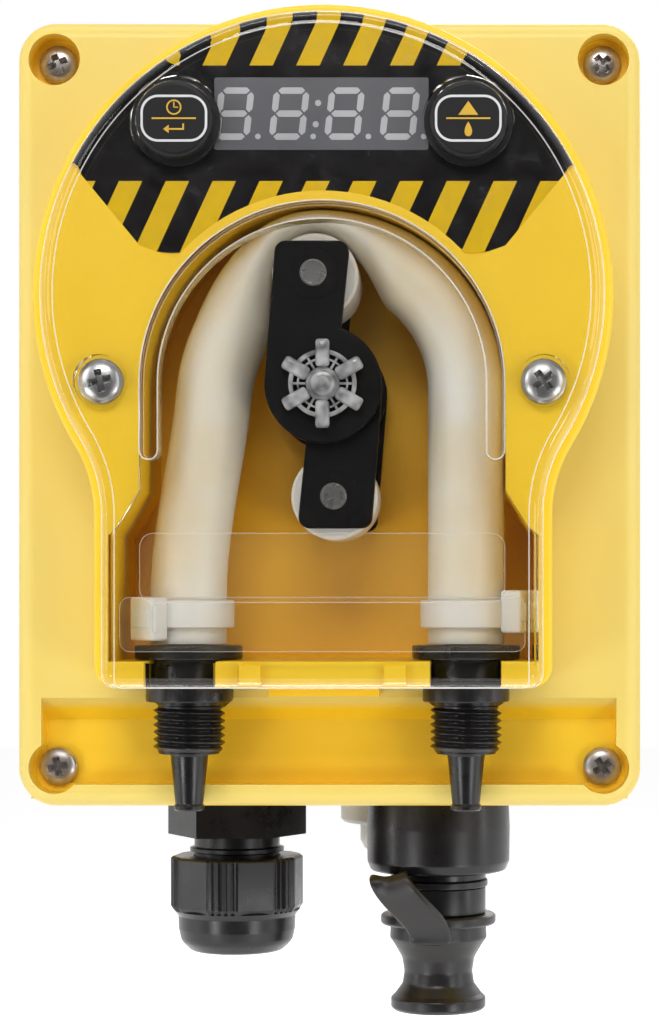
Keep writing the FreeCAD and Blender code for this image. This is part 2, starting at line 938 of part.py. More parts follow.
def buildSwitches():
    body = newBody("tact_switches")

    def bodies(sketch):
        for x in (size("buttonX"), -size("buttonX")):
            z = size("buttonZ")
            box(sketch, x - 3, x + 3, z - 3, z + 3)

    def plungers(sketch):
        circle(sketch, 1.7, "buttonX", "buttonZ")
        circle(sketch, 1.7, "-buttonX", "buttonZ")

    pad(body, "Housings", "boardFront", 84.2, bodies)
    pad(body, "Plungers", 84.0, 86.0, plungers)
    return body


# pump tube

def smooth(value):
    value = max(0.0, min(1.0, value))
    return value * value * (3 - 2 * value)


standOff = 5.2


def lean(angle):
    # how far the slack left side stands off the chamber wall at an angle above the rotor
    return standOff * smooth((angle - 98) / 59.0)


def squeeze(angle):
    # thickness of the tube at an angle round the rotor: thin where the upper roller presses it
    full = 2 * size("tubeRadius")
    thin = size("squeezedThick")
    away = abs(angle - 90 - size("pinTilt"))
    eased = thin + (full - thin) * smooth(away / 44.0)
    roller = size("rollerRadius") + 0.2
    side = size("pinCircle") * math.sin(math.radians(away))
    if away > 40 or side >= roller:
        return eased
    reach = size("pinCircle") * math.cos(math.radians(away)) + math.sqrt(roller * roller - side * side)
    room = size("tubeCentreRadius") + size("tubeRadius") - reach - lean(angle)
    return max(thin, min(room, eased))


def tubeStations():
    # centre point, thickness and outward angle, from the left end over the rotor to the right end
    centreZ = size("rotorZ")
    full = 2 * size("tubeRadius")
    wall = size("tubeCentreRadius") + size("tubeRadius")
    drop = centreZ - size("tubeEnd")
    stations = []
    legSteps = 12
    for index in range(legSteps):
        z = size("tubeEnd") + drop * index / legSteps
        offset = standOff * smooth((z + 34) / 46.0)
        stations.append((-size("tubeCentreRadius") + offset, z, full, 180))
    steps = 24
    for index in range(steps + 1):
        angle = 180 - 180.0 * index / steps
        thick = squeeze(angle)
        radius = wall - thick / 2
        if angle > 157:
            height = centreZ + radius * math.sin(math.radians(angle))
            radius -= standOff * smooth((height + 34) / 46.0)
        else:
            radius -= lean(angle)
        x = radius * math.cos(math.radians(angle))
        z = centreZ + radius * math.sin(math.radians(angle))
        stations.append((x, z, thick, angle))
    for index in range(1, legSteps + 1):
        z = centreZ - drop * index / legSteps
        stations.append((size("tubeCentreRadius"), z, full, 0))
    return stations


def tubeWires(wallPart):
    # wallPart 0 gives the outer skin, 1 gives the bore
    full = 2 * size("tubeRadius")
    wires = []
    for x, z, thick, angle in tubeStations():
        outX = math.cos(math.radians(angle))
        outZ = math.sin(math.radians(angle))
        wide = thick + math.pi / 2 * (full - thick)
        halfThick = thick / 2 - wallPart * size("tubeWall")
        halfWide = wide / 2 - wallPart * size("tubeWall")
        points = []
        for step in range(16):
            turn = 2 * math.pi * step / 16
            out = halfThick * math.cos(turn)
            front = halfWide * math.sin(turn)
            points.append(Vector(x + out * outX, -size("tubeLevel") - front, z + out * outZ))
        curve = Part.BSplineCurve()
        curve.interpolate(points, PeriodicFlag=True)
        wires.append(Part.Wire([curve.toShape()]))
    return wires


def buildTube():
    # the tube is lofted in stretches that meet on shared sections
    skins = tubeWires(0)
    bores = tubeWires(1)
    meetings = [0, 12, 24, 36, len(skins) - 1]
    whole = None
    for first, last in zip(meetings[:-1], meetings[1:]):
        skin = Part.makeLoft(skins[first:last + 1], True, False)
        bore = Part.makeLoft(bores[first:last + 1], True, False)
        piece = skin.cut(bore)
        whole = piece if whole is None else whole.fuse(piece)
    tube = doc.addObject("Part::Feature", "pump_tube")
    tube.Shape = whole.Solids[0] if len(whole.Solids) == 1 else whole
    tube.Label = "pump_tube"
    return tube


# rotor: two identical forks set across the shaft, one plate behind the other

def forkOutline(sign):
    hub = size("hubRadius")
    corner = 3.0
    left = -8.65
    right = 3.65
    top = size("pinCircle") + 4.1
    startX = left
    startZ = top - corner
    reach = math.hypot(startX, startZ)
    touch = math.degrees(math.atan2(startZ, startX) + math.acos(hub / reach))
    footZ = math.sqrt(hub * hub - right * right)
    foot = math.degrees(math.atan2(footZ, right))
    touchX = hub * math.cos(math.radians(touch))
    touchZ = hub * math.sin(math.radians(touch))
    centreZ = size("rotorZ")
    turn = 0 if sign > 0 else 180

    def along(x1, z1, x2, z2):
        return line(sign * x1, centreZ + sign * z1, sign * x2, centreZ + sign * z2)

    def round_(x, z, radius, start, end):
        return arc(sign * x, centreZ + sign * z, radius, start + turn, end + turn)

    return [
        along(touchX, touchZ, startX, startZ),
        round_(left + corner, top - corner, corner, 90, 180),
        along(left + corner, top, right - corner, top),
        round_(right - corner, top - corner, corner, 0, 90),
        along(right, top - corner, right, footZ),
        round_(0, 0, hub, touch, 360 + foot),
    ]


def hexagon(sketch, radius, x, z, start=30):
    points = []
    for index in range(6):
        angle = math.radians(start + 60 * index)
        points.append((x + radius * math.cos(angle), z + radius * math.sin(angle)))
    polygon(sketch, points)


def buildForkPlate(label, start, end, sign):
    body = newBody(label)
    pinX = "upperPinX" if sign > 0 else "lowerPinX"
    pinZ = "upperPinZ" if sign > 0 else "lowerPinZ"

    def plate(sketch):
        curves(sketch, forkOutline(sign))
        hexagon(sketch, 5.25, 0, size("rotorZ"))
        circle(sketch, "pinRadius", pinX, pinZ)

    pad(body, "Plate", start, end, plate)
    return body


def buildRotorHub():
    # six-sided sleeve that carries the fork plates, with a flat inside for the shaft
    body = newBody("rotor_hub")

    def sleeve(sketch):
        hexagon(sketch, 5.2, 0, size("rotorZ"))
        dShape(sketch, size("shaftRadius") + 0.05, 2.55)

    pad(body, "Sleeve", 61.4, "upperFrontEnd", sleeve)

    def spacer(sketch):
        circle(sketch, 8.0, 0, "rotorZ")
        hexagon(sketch, 4.9, 0, size("rotorZ"))

    pad(body, "Spacer", "innerRearEnd", "lowerFrontLevel", spacer)
    return body


def dShape(sketch, radius, flat):
    centreZ = size("rotorZ")
    angle = math.degrees(math.acos(flat / radius))
    half = radius * math.sin(math.radians(angle))
    curves(sketch, [
        arc(0, centreZ, radius, angle, 360 - angle),
        line(flat, centreZ - half, flat, centreZ + half),
    ])


def buildRollerPins():
    body = newBody("roller_pins")
    pad(body, "UpperPin", 64.6, 91.6, lambda s: circle(s, "pinRadius", "upperPinX", "upperPinZ"))
    pad(body, "LowerPin", 62.0, 89.0, lambda s: circle(s, "pinRadius", "lowerPinX", "lowerPinZ"))
    return body


def buildRoller(label, x, z, bossStart, bossEnd, start):
    # the same roller twice: its one longer end boss points the other way
    body = newBody(label)
    end = start + size("rollerLength")

    def face(radius):
        def both(sketch):
            circle(sketch, radius, 0, 0)
            circle(sketch, "rollerBore", 0, 0)
        return both

    barrel = pad(body, "Barrel", start, end, face("rollerRadius"))
    soften(body, "Chamfer", "BarrelEdges", barrel, 0.5,
           lambda e: (atLevel(e, start) or atLevel(e, end)) and e.Curve.Radius > 5)
    pad(body, "EndBoss", bossStart, bossEnd, face(3.8))
    place(body, x, 0, z)
    return body


def buildShaft():
    body = newBody("output_shaft")
    pad(body, "Shaft", 50.0, 91.2, lambda s: dShape(s, size("shaftRadius"), 2.5))
    return body


def buildGearbox():
    body = newBody("gearbox")
    front = size("chamberBack")

    def tapped(sketch):
        driveScrews(lambda x, z: circle(sketch, 1.2, x, z))

    pad(body, "Can", "motorFront", "chamberBack", lambda s: circle(s, "gearboxRadius", 0, "rotorZ"))
    pad(body, "CentringRing", front - 1, front + 2.4, lambda s: circle(s, 6.0, 0, "rotorZ"))
    pocket(body, "ShaftBore", 49.5, 65, lambda s: circle(s, 3.1, 0, "rotorZ"))
    pocket(body, "TappedHoles", front - 8, 65, tapped)
    return body


def buildMotor():
    body = newBody("motor_can")
    can = pad(body, "Can", "motorBack", "motorFront", lambda s: circle(s, "motorRadius", 0, "rotorZ"))
    back = size("motorBack")
    soften(body, "Fillet", "BackEdge", can, 1.5, lambda e: atLevel(e, back))
    pad(body, "EndCap", back - 1.4, back + 1, lambda s: circle(s, 5.0, 0, "rotorZ"))
    return body


def buildMotorTerminals():
    body = newBody("motor_terminals")
    back = size("motorBack")

    def tabs(sketch):
        for x in (-11.0, 8.2):
            box(sketch, x, x + 2.8, 3.6, 4.4)

    pad(body, "Tabs", back - 2.2, back, tabs)
    return body


def buildGearboxScrews():
    body = newBody("gearbox_screws")

    def draw(radius):
        return lambda sketch: driveScrews(lambda x, z: circle(sketch, radius, x, z))

    pad(body, "Shanks", 51.0, 60.4, draw(1.2))
    head = pad(body, "Heads", "chamberFloor", 61.7, draw(2.8))
    soften(body, "Fillet", "HeadRound", head, 0.8, lambda e: atLevel(e, 61.7))
    return body


# tube ends

threadTop = -54.2
threadBottom = -62.4
threadPitch = 1.337


def buildConnector(label, x):
    body = newBody(label)
    barb = size("tubeRadius") - size("tubeWall") - 0.3
    neck = barb - 0.6
    profile = [
        (1.7, -31.4), (barb - 0.9, -31.4), (barb, -33.8), (neck, -33.8), (barb, -36.8), (neck, -36.8),
        (barb, -39.8), (neck, -39.8), (neck, -42.9), (9.9, -42.9), (9.9, -45.4), (6.2, -45.4),
        (6.2, -50.4), (8.0, -50.4),
        (8.0, -53.3), (5.7, -53.3), (5.7, threadTop), (6.58, threadTop), (6.58, threadBottom),
        (5.7, -63.0), (3.5, -63.0), (2.55, -72.2), (2.8, -72.5), (2.8, -73.1), (2.5, -73.4), (1.7, -73.4),
    ]
    turned(body, "Revolution", "Connector", profile)
    depth = 0.78
    top = threadTop - 0.35
    groove = turned(body, "Groove", "ThreadGroove", [
        (6.7, top), (6.7, top - 1.15), (6.58 - depth, top - 0.68), (6.58 - depth, top - 0.47),
    ])
    pattern = body.newObject("PartDesign::LinearPattern", "ThreadTurns")
    pattern.Originals = [groove]
    pattern.Direction = (originAxis(body, "Z_Axis"), [""])
    pattern.Reversed = True
    pattern.Length = threadPitch * 5
    pattern.Occurrences = 6
    body.Tip = pattern
    place(body, x, "tubeLevel", 0)
    return body


def buildTie(label, side):
    body = newBody(label)

    inner = size("tubeRadius") + 0.15

    def band(sketch):
        circle(sketch, inner + 1.25, 0, 0)
        circle(sketch, inner, 0, 0)

    pad(body, "Band", -39.7, -34.6, band, "XY_Plane")
    turn, bottom, out = (230, -41.9, 2.75) if side < 0 else (340, -40.6, 2.55)
    radius = inner + out

    def head(sketch):
        outX = math.cos(math.radians(turn))
        outY = math.sin(math.radians(turn))
        points = []
        for out, along in ((-2, -3), (2, -3), (2, 3), (-2, 3)):
            points.append(((radius + out) * outX - along * outY, (radius + out) * outY + along * outX))
        polygon(sketch, points)

    pad(body, "Head", bottom, bottom + 7.8, head, "XY_Plane")
    place(body, side * size("connectorX"), "tubeLevel", 0)
    return body


# cable gland

def buildGlandBody():
    body = newBody("gland_body")
    turned(body, "Revolution", "Core", [
        (5.5, -62.0), (8.0, -62.0), (8.0, -73.0), (11.0, -73.0), (11.0, -81.0), (8.45, -81.0),
        (8.45, -83.3), (9.3, -83.6), (9.3, -84.3), (8.4, -84.6), (8.4, -91.0), (7.4, -92.0), (5.5, -92.0),
    ])

    def flange(sketch):
        hexagon(sketch, 13.7, 0, 0, 0)
        circle(sketch, 10.0, 0, 0)

    pad(body, "HexFlange", -81.0, -73.0, flange, "XY_Plane")
    for index, height in enumerate((-68.0, -89.4)):
        radius = 8.0 if index == 0 else 8.4
        groove = turned(body, "Groove", "Thread%d" % (index + 1), [
            (radius + 0.2, height + 3.6), (radius + 0.2, height + 2.6), (radius - 0.6, height + 3.1),
        ])
        pattern = body.newObject("PartDesign::LinearPattern", "ThreadTurns%d" % (index + 1))
        pattern.Originals = [groove]
        pattern.Direction = (originAxis(body, "Z_Axis"), [""])
        pattern.Reversed = index == 1
        pattern.Length = 2.4 if index == 0 else 3.0
        pattern.Occurrences = 3
        body.Tip = pattern
    place(body, "glandX", "fittingLevel", "fittingShift")
    return body


def buildLocknut(label, x, level, bore, outer):
    body = newBody(label)

    def nut(sketch):
        hexagon(sketch, outer, 0, 0, 30)
        circle(sketch, bore, 0, 0)

    pad(body, "Nut", -70.3, -65.8, nut, "XY_Plane")
    place(body, x, level, "fittingShift")
    return body


nutReach = 13.05
nutCorner = -98.0


def buildGlandNut():
    body = newBody("gland_nut")
    bands = [(8.65, -85.2), (11.6, -85.2), (11.6, -96.7), (12.6, -96.7), (11.7, -98.2), (11.55, -100.4)]
    for index in range(8):
        angle = math.radians(10 + 10 * index)
        bands.append((7.0 + 4.55 * math.cos(angle), -100.6 - 4.8 * math.sin(angle)))
    bands += [(7.0, -105.4), (5.6, -105.4), (5.6, -100.2), (8.65, -98.4)]
    turned(body, "Revolution", "Dome", bands)

    def grip(sketch):
        points = []
        for index in range(6):
            corner = nutCorner + 60 * index
            for turn in (-13.5, -4.5, 4.5, 13.5):
                angle = math.radians(corner + turn)
                points.append((nutReach * math.cos(angle), nutReach * math.sin(angle)))
        polygon(sketch, points)
        circle(sketch, 11.0, 0, 0)

    pad(body, "Grip", -97.0, -85.2, grip, "XY_Plane")

    # five fine grooves leave the ribs of one corner, then they are repeated round the nut
    def groove(sketch):
        for turn in (-12, -6, 0, 6, 12):
            angle = math.radians(nutCorner + turn)
            reach = nutReach + 0.1
            circle(sketch, 0.5, reach * math.cos(angle), reach * math.sin(angle))

    first = pocket(body, "RibGrooves", -98.5, -86.0, groove, "XY_Plane")
    ring(body, "Ribs", first, "Z_Axis", 6)
    place(body, "glandX", "fittingLevel", "fittingShift")
    return body


def buildGlandSeal():
    body = newBody("gland_seal")
    turned(body, "Revolution", "Seal", [
        (4.0, -92.6), (7.9, -92.6), (7.9, -97.6), (5.3, -100.0), (5.3, -103.6), (4.0, -103.6),
    ])
    place(body, "glandX", "fittingLevel", "fittingShift")
    return body


# socket with its tethered cap

def buildSocket():
    body = newBody("socket_body")
    turned(body, "Revolution", "Shell", [
        (7.4, -61.0), (9.0, -61.0), (9.0, -73.0), (14.1, -73.0), (14.1, -86.8), (13.8, -88.2),
        (12.8, -89.1), (11.8, -89.3), (9.4, -89.3), (9.4, -89.7), (8.4, -89.7), (8.4, -91.5), (9.4, -91.5),
        (9.4, -96.6), (7.4, -96.6),
    ])
    place(body, "socketX", "fittingLevel", "fittingShift")
    return body


def buildSocketInsert():
    body = newBody("socket_insert")
    pad(body, "Insert", -78.0, -62.0, lambda s: circle(s, 7.35, 0, 0), "XY_Plane")
    place(body, "socketX", "fittingLevel", "fittingShift")
    return body


def buildSocketPins():
    body = newBody("socket_pins")

    def four(sketch):
        for x in (-2.6, 2.6):
            for y in (-2.6, 2.6):
                circle(sketch, 0.8, x, y)

    pad(body, "Pins", -84.0, -78.0, four, "XY_Plane")
    pad(body, "Tails", -62.0, -58.0, four, "XY_Plane")
    place(body, "socketX", "fittingLevel", "fittingShift")
    return body


def buildCap():
    # flange over the socket's mouth, plug inside it, waist and flared foot to pull on
    body = newBody("rubber_cap")
    turned(body, "Revolution", "Cap", [
        (0, -90.0), (6.6, -90.0), (7.1, -91.4), (7.1, -96.9), (11.0, -96.9), (11.3, -97.3), (11.3, -99.5),
        (11.0, -99.8), (9.5, -99.8), (9.5, -102.6), (8.4, -104.0), (7.3, -106.2), (6.8, -109.0),
        (7.0, -111.4), (7.9, -113.4), (9.1, -114.4), (9.4, -115.2), (9.2, -116.8), (8.6, -117.2), (0, -117.2),
    ])
    place(body, "socketX", "fittingLevel", "fittingShift")
    return body


strapTurn = -22.0


def buildStrap():
    # ring in the socket's groove, and a flat band that arches out and down to the cap's flange
    body = newBody("cap_strap")

    def loop(sketch):
        circle(sketch, 9.8, 0, 0)
        circle(sketch, 8.5, 0, 0)

    pad(body, "Loop", -91.3, -89.9, loop, "XY_Plane")
    half = 4.2

    def band(sketch):
        polygon(sketch, [
            (-9.2, -89.9), (-14.5, -89.9), (-14.9, -88.6), (-15.6, -87.6), (-16.6, -87.5), (-17.3, -88.4),
            (-17.5, -90.4), (-17.0, -93.2), (-15.7, -96.2), (-13.6, -99.0), (-12.9, -102.2), (-11.5, -102.2),
            (-11.7, -98.6), (-14.1, -95.3), (-15.3, -92.9), (-15.2, -91.3), (-9.2, -91.3),
        ])

    pad(body, "Band", -half, half, band, "YZ_Plane")
    place(body, "socketX", "fittingLevel", "fittingShift")
    body.Placement = FreeCAD.Placement(body.Placement.Base, FreeCAD.Rotation(Vector(0, 0, 1), strapTurn))
    return body


# mains switch under its clear boot

def buildSwitchBody():
    body = newBody("switch_body")
    pad(body, "Block", -70.3, -54.0, lambda s: box(s, -8.6, 8.6, -6.6, 6.6), "XY_Plane")
    pad(body, "Neck", -76.0, -70.0, lambda s: circle(s, 7.9, 0, 0), "XY_Plane")
    pocket(body, "RockerWell", -77.0, -71.6, lambda s: box(s, -4.2, 4.2, -6.0, 6.0), "XY_Plane")
    pocket(body, "PivotHoles", -5.1, 5.1, lambda s: circle(s, 1.25, 0, -75.0), "YZ_Plane")
    place(body, "switchX", "switchLevel", "fittingShift")
    return body


def buildRocker():
    body = newBody("switch_rocker")
    pad(body, "Rocker", -4.0, 4.0, lambda s: polygon(s, [
        (-5.4, -73.5), (0.0, -73.1), (5.4, -73.5), (5.4, -77.4), (0.0, -76.7), (-5.4, -77.4),
    ]), "YZ_Plane")
    pad(body, "Pivots", -4.9, 4.9, lambda s: circle(s, 1.2, 0, -75.0), "YZ_Plane")
    place(body, "switchX", "switchLevel", "fittingShift")
    return body


def buildBoot():
    body = newBody("switch_boot")
    turned(body, "Revolution", "Boot", [
        (8.05, -73.0), (10.9, -73.0), (10.9, -80.0), (10.2, -80.7), (6.9, -80.9), (6.85, -84.2), (6.2, -85.8),
        (4.8, -86.7), (0, -87.0), (0, -86.0), (4.4, -85.7), (5.5, -84.8), (5.95, -83.6), (6.0, -79.3),
        (7.2, -79.0), (8.05, -78.4),
    ])
    place(body, "switchX", "switchLevel", "fittingShift")
    return body


def buildSwitchTabs():
    body = newBody("switch_tabs")

    def tabs(sketch):
        for x in (-5.0, 5.0):
            box(sketch, x - 0.4, x + 0.4, -2.4, 2.4)

    pad(body, "Tabs", -54.0, -48.4, tabs, "XY_Plane")
    place(body, "switchX", "switchLevel", "fittingShift")
    return body


# power board in the rear case: levels here are counted from its back face

powerBoardThick = 1.6
postInset = 4.0
screwShank = 6.5
screwHeadThick = 1.8


def powerBoardHalf():
    return size("caseWidth") / 2 - size("powerBoardInset")


def powerPostPlaces():
    far = powerBoardHalf() - postInset
    return [(-far, -44), (-far, -18), (far, -44), (far, -18)]


def buildPowerBoard():
    body = newBody("power_board")

    def outline(sketch):
        half = powerBoardHalf()
        curves(sketch, roundedBox(-half, half, -47.5, -15.4, 1.5))
        for x, z in powerPostPlaces():
            circle(sketch, 1.4, x, z)

    pad(body, "Board", 0, powerBoardThick, outline)
    place(body, 0, "powerBoardLevel", 0)
    return body


def buildPowerScrews():
    body = newBody("board_screws")

    def draw(radius):
        def four(sketch):
            for x, z in powerPostPlaces():
                circle(sketch, radius, x, z)
        return four

    top = powerBoardThick + screwHeadThick
    pad(body, "Shanks", -screwShank, powerBoardThick + 0.4, draw(1.1))
    head = pad(body, "Heads", powerBoardThick, top, draw(2.6))
    soften(body, "Fillet", "HeadRound", head, 0.7, lambda e: atLevel(e, top))
    place(body, 0, "powerBoardLevel", 0)
    return body


def buildTransformerCore():
    body = newBody("transformer_core")

    def lamination(sketch):
        box(sketch, -42, -10, -44, -18)
        box(sketch, -37, -30, -39, -23)
        box(sketch, -22, -15, -39, -23)

    pad(body, "Laminations", 5.0, 19.0, lamination)
    pad(body, "Feet", powerBoardThick, 5.5, lambda s: box(s, -38, -14, -43.6, -40))
    place(body, 0, "powerBoardLevel", 0)
    return body


def buildTransformerCoil():
    body = newBody("transformer_coil")
    coil = newSketch(body, "CoilSketch", "XZ_Plane", 2.6)
    curves(coil, roundedBox(-36.8, -30.1, -38.8, -23.2, 1.5))
    curves(coil, roundedBox(-21.9, -15.2, -38.8, -23.2, 1.5))
    feature = body.newObject("PartDesign::Pad", "Windings")
    feature.Profile = coil
    feature.Length = 19.0
    for name, start in (("BackWinding", 2.6), ("FrontWinding", 19.1)):
        pad(body, name, start, start + 2.3, lambda s: box(s, -36.0, -16.0, -38.0, -24.0))
    place(body, 0, "powerBoardLevel", 0)
    return body


terminalWays = 7
terminalPitch = 5.08
terminalInset = 10.0


def terminalEnd():
    return powerBoardHalf() - terminalInset


def terminalPlaces():
    return [terminalEnd() - 34.3 + terminalPitch * index for index in range(terminalWays)]


def buildTerminalBlock():
    body = newBody("terminal_block")
    end = terminalEnd()
    pad(body, "Block", powerBoardThick, 13.0, lambda s: box(s, end - 38, end, -46.8, -38))

    def wireWays(sketch):
        for x in terminalPlaces():
            box(sketch, x - 1.6, x + 1.6, -7.6, -3.6)

    pocket(body, "WireWays", -46.8, -40.8, wireWays, "XY_Plane")

    def screwWells(sketch):
        for x in terminalPlaces():
            circle(sketch, 1.9, x, -42.4)

    pocket(body, "ScrewWells", 9.6, 16, screwWells)
    place(body, 0, "powerBoardLevel", 0)
    return body


def buildTerminalScrews():
    body = newBody("terminal_screws")

    def screws(sketch):
        for x in terminalPlaces():
            circle(sketch, 1.6, x, -42.4)

    pad(body, "Heads", 9.6, 11.8, screws)
    place(body, 0, "powerBoardLevel", 0)
    return body


def buildCapacitors():
    body = newBody("capacitors")

    def cans(sketch):
        circle(sketch, 5.0, 0.0, -27.0)
        circle(sketch, 5.0, 12.0, -27.0)
        circle(sketch, 3.2, 21.6, -25.0)

    pad(body, "Cans", powerBoardThick, 17.0, cans)
    place(body, 0, "powerBoardLevel", 0)
    return body


def buildRelay():
    body = newBody("relay")
    pad(body, "Case", powerBoardThick, 14.0, lambda s: curves(s, roundedBox(27.5, 43.5, -35, -21, 0.8)))
    place(body, 0, "powerBoardLevel", 0)
    return body


# wall plate that the casing hangs on

def buildWallPlate():
    body = newBody("wall_plate")

    def plate(sketch):
        curves(sketch, roundedBox(-30, 30, -45, 45, 3))
        for x in ("plateHoleX", "-plateHoleX"):
            for z in ("plateHoleZ", "-plateHoleZ"):
                circle(sketch, "plateHoleRadius", x, z)

    pad(body, "Plate", 0, 2.5, plate)

    def necks(sketch):
        for left in (-22.0, 14.0):
            box(sketch, left, left + 8, 14.6, 17.2)

    def hooks(sketch):
        for left in (-22.0, 14.0):
            box(sketch, left, left + 8, 14.6, 24.0)

    pad(body, "HookNecks", 2.0, 7.0, necks)
    pad(body, "Hooks", 6.3, 8.3, hooks)
    return body


# build, check and write

def buildAll():
    rollerFar = size("rollerLength")
    upperStart = size("innerRearEnd") + 0.1
    lowerStart = size("lowerFrontLevel") - 0.1 - rollerFar
    parts = [
        buildRearCase(), buildGasket(), buildFrontCase(), buildCaseScrews(), buildClearCover(), buildStar(),
        buildCoverScrews(), buildOverlay(),
        buildButton("button_left", "-buttonX"), buildButton("button_right", "buttonX"),
        buildDisplay(), buildControlBoard(), buildControlScrews(), buildSwitches(), buildTube(),
        buildForkPlate("fork_plate_upper_front", "upperFrontLevel", "upperFrontEnd", 1),
        buildForkPlate("fork_plate_upper_rear", "innerRearLevel", "innerRearEnd", 1),
        buildForkPlate("fork_plate_lower_front", "lowerFrontLevel", "lowerFrontEnd", -1),
        buildForkPlate("fork_plate_lower_rear", "rearPlateLevel", "rearPlateEnd", -1),
        buildRotorHub(), buildRollerPins(),
        buildRoller("roller_upper", "upperPinX", "upperPinZ", upperStart + rollerFar - 0.2,
                    size("upperFrontLevel") - 0.1, upperStart),
        buildRoller("roller_lower", "lowerPinX", "lowerPinZ", size("rearPlateEnd") + 0.1,
                    lowerStart + 0.2, lowerStart),
        buildShaft(), buildGearbox(), buildMotor(), buildMotorTerminals(), buildGearboxScrews(),
        buildConnector("hose_connector_left", "-connectorX"),
        buildConnector("hose_connector_right", "connectorX"),
        buildTie("cable_tie_left", -1), buildTie("cable_tie_right", 1),
        buildGlandBody(), buildLocknut("gland_locknut", "glandX", "fittingLevel", 8.1, 12.2),
        buildGlandNut(), buildGlandSeal(),
        buildSocket(), buildLocknut("socket_locknut", "socketX", "fittingLevel", 9.1, 13.0),
        buildSocketInsert(), buildSocketPins(), buildCap(), buildStrap(),
        buildSwitchBody(), buildRocker(), buildBoot(), buildSwitchTabs(),
        buildPowerBoard(), buildPowerScrews(), buildTransformerCore(), buildTransformerCoil(),
        buildTerminalBlock(), buildTerminalScrews(), buildCapacitors(), buildRelay(), buildWallPlate(),
    ]
    doc.recompute()
    return parts


def checkAndWrite(parts):
    for thing in doc.Objects:
        if "Invalid" in thing.State or "Error" in thing.State:
            raise RuntimeError("%s is %s" % (thing.Name, thing.State))
    for part in parts:
        shape = part.Shape
        if shape.isNull() or not shape.isValid() or not shape.Solids:
            raise RuntimeError(part.Label + " has no sound shape")
    for part in parts:
        part.Shape.exportStep("parts/" + part.Label + ".step")
        print("%-26s %2d solid(s) %9.1f mm3" % (part.Label, len(part.Shape.Solids), part.Shape.Volume))
    print(len(parts), "parts written")


checkAndWrite(buildAll())
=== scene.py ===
import bpy
import bmesh
import math
from mathutils import Matrix, Vector


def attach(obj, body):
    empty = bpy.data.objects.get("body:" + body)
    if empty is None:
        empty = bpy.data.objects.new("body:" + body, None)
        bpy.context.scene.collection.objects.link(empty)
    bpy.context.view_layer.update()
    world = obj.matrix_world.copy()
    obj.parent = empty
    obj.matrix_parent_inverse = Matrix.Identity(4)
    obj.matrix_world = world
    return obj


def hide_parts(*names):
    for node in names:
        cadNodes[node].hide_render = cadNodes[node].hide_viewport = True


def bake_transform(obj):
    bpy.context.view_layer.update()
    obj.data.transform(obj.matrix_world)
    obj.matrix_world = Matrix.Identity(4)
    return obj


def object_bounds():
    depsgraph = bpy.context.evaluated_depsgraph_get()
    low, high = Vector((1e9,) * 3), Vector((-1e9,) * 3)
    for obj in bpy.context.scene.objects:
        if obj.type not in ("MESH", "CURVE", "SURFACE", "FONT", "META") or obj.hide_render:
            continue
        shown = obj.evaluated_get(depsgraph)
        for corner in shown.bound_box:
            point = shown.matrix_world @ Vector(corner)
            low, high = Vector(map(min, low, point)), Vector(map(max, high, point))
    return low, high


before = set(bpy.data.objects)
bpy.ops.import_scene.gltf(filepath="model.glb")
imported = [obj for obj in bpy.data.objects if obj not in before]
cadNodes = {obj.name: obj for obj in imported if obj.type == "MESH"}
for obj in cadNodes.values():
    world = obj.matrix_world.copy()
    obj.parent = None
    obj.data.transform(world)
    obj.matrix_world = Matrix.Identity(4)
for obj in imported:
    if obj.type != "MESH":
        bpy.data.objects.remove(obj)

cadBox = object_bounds()
mm = 0.001
print("frame loaded:", len(cadNodes), "parts")


# colours are written as the eye sees them, 0 to 255, and turned into linear light here
def shade(red, green, blue):
    def linear(value):
        value = value / 255
        return value / 12.92 if value <= 0.04045 else ((value + 0.055) / 1.055) ** 2.4
    return (linear(red), linear(green), linear(blue), 1.0)


def addObject(name, data):
    thing = bpy.data.objects.new(name, data)
    bpy.context.scene.collection.objects.link(thing)
    return thing


def newMaterial(name):
    material = bpy.data.materials.new(name)
    material.use_nodes = True
    tree = material.node_tree
    return material, tree, tree.nodes["Principled BSDF"]


def setInputs(tree, node, values):
    # plain values go into the sockets; outputs of other nodes are linked to them
    for key, value in values.items():
        if isinstance(value, bpy.types.NodeSocket):
            tree.links.new(value, node.inputs[key])
        else:
            node.inputs[key].default_value = value


def addNode(tree, kind, inputs=None, **settings):
    node = tree.nodes.new(kind)
    for key, value in settings.items():
        setattr(node, key, value)
    setInputs(tree, node, inputs or {})
    return node


def mathStep(tree, operation, first, second=None, clamp=False):
    inputs = {0: first} if second is None else {0: first, 1: second}
    return addNode(tree, "ShaderNodeMath", inputs, operation=operation, use_clamp=clamp).outputs[0]


def objectPlace(tree):
    return addNode(tree, "ShaderNodeTexCoord").outputs["Object"]


def splitAxes(tree, place):
    return addNode(tree, "ShaderNodeSeparateXYZ", {"Vector": place}).outputs


def noiseAt(tree, place, size, detail=3.0, rough=0.5):
    # size is how wide one patch of the pattern is, in millimetres
    inputs = {"Vector": place, "Scale": 1000.0 / size, "Detail": detail, "Roughness": rough}
    return addNode(tree, "ShaderNodeTexNoise", inputs).outputs["Fac"]


def spread(tree, value, low, high, fromLow=0.3, fromHigh=0.7):
    inputs = {"Value": value, "From Min": fromLow, "From Max": fromHigh, "To Min": low, "To Max": high}
    return addNode(tree, "ShaderNodeMapRange", inputs).outputs["Result"]


def bandMask(tree, value, starts, full, holds, ends):
    # 1 between full and holds, fading to 0 at starts and ends
    rise = spread(tree, value, 0.0, 1.0, starts, full)
    fall = spread(tree, value, 1.0, 0.0, holds, ends)
    return mathStep(tree, "MULTIPLY", rise, fall)


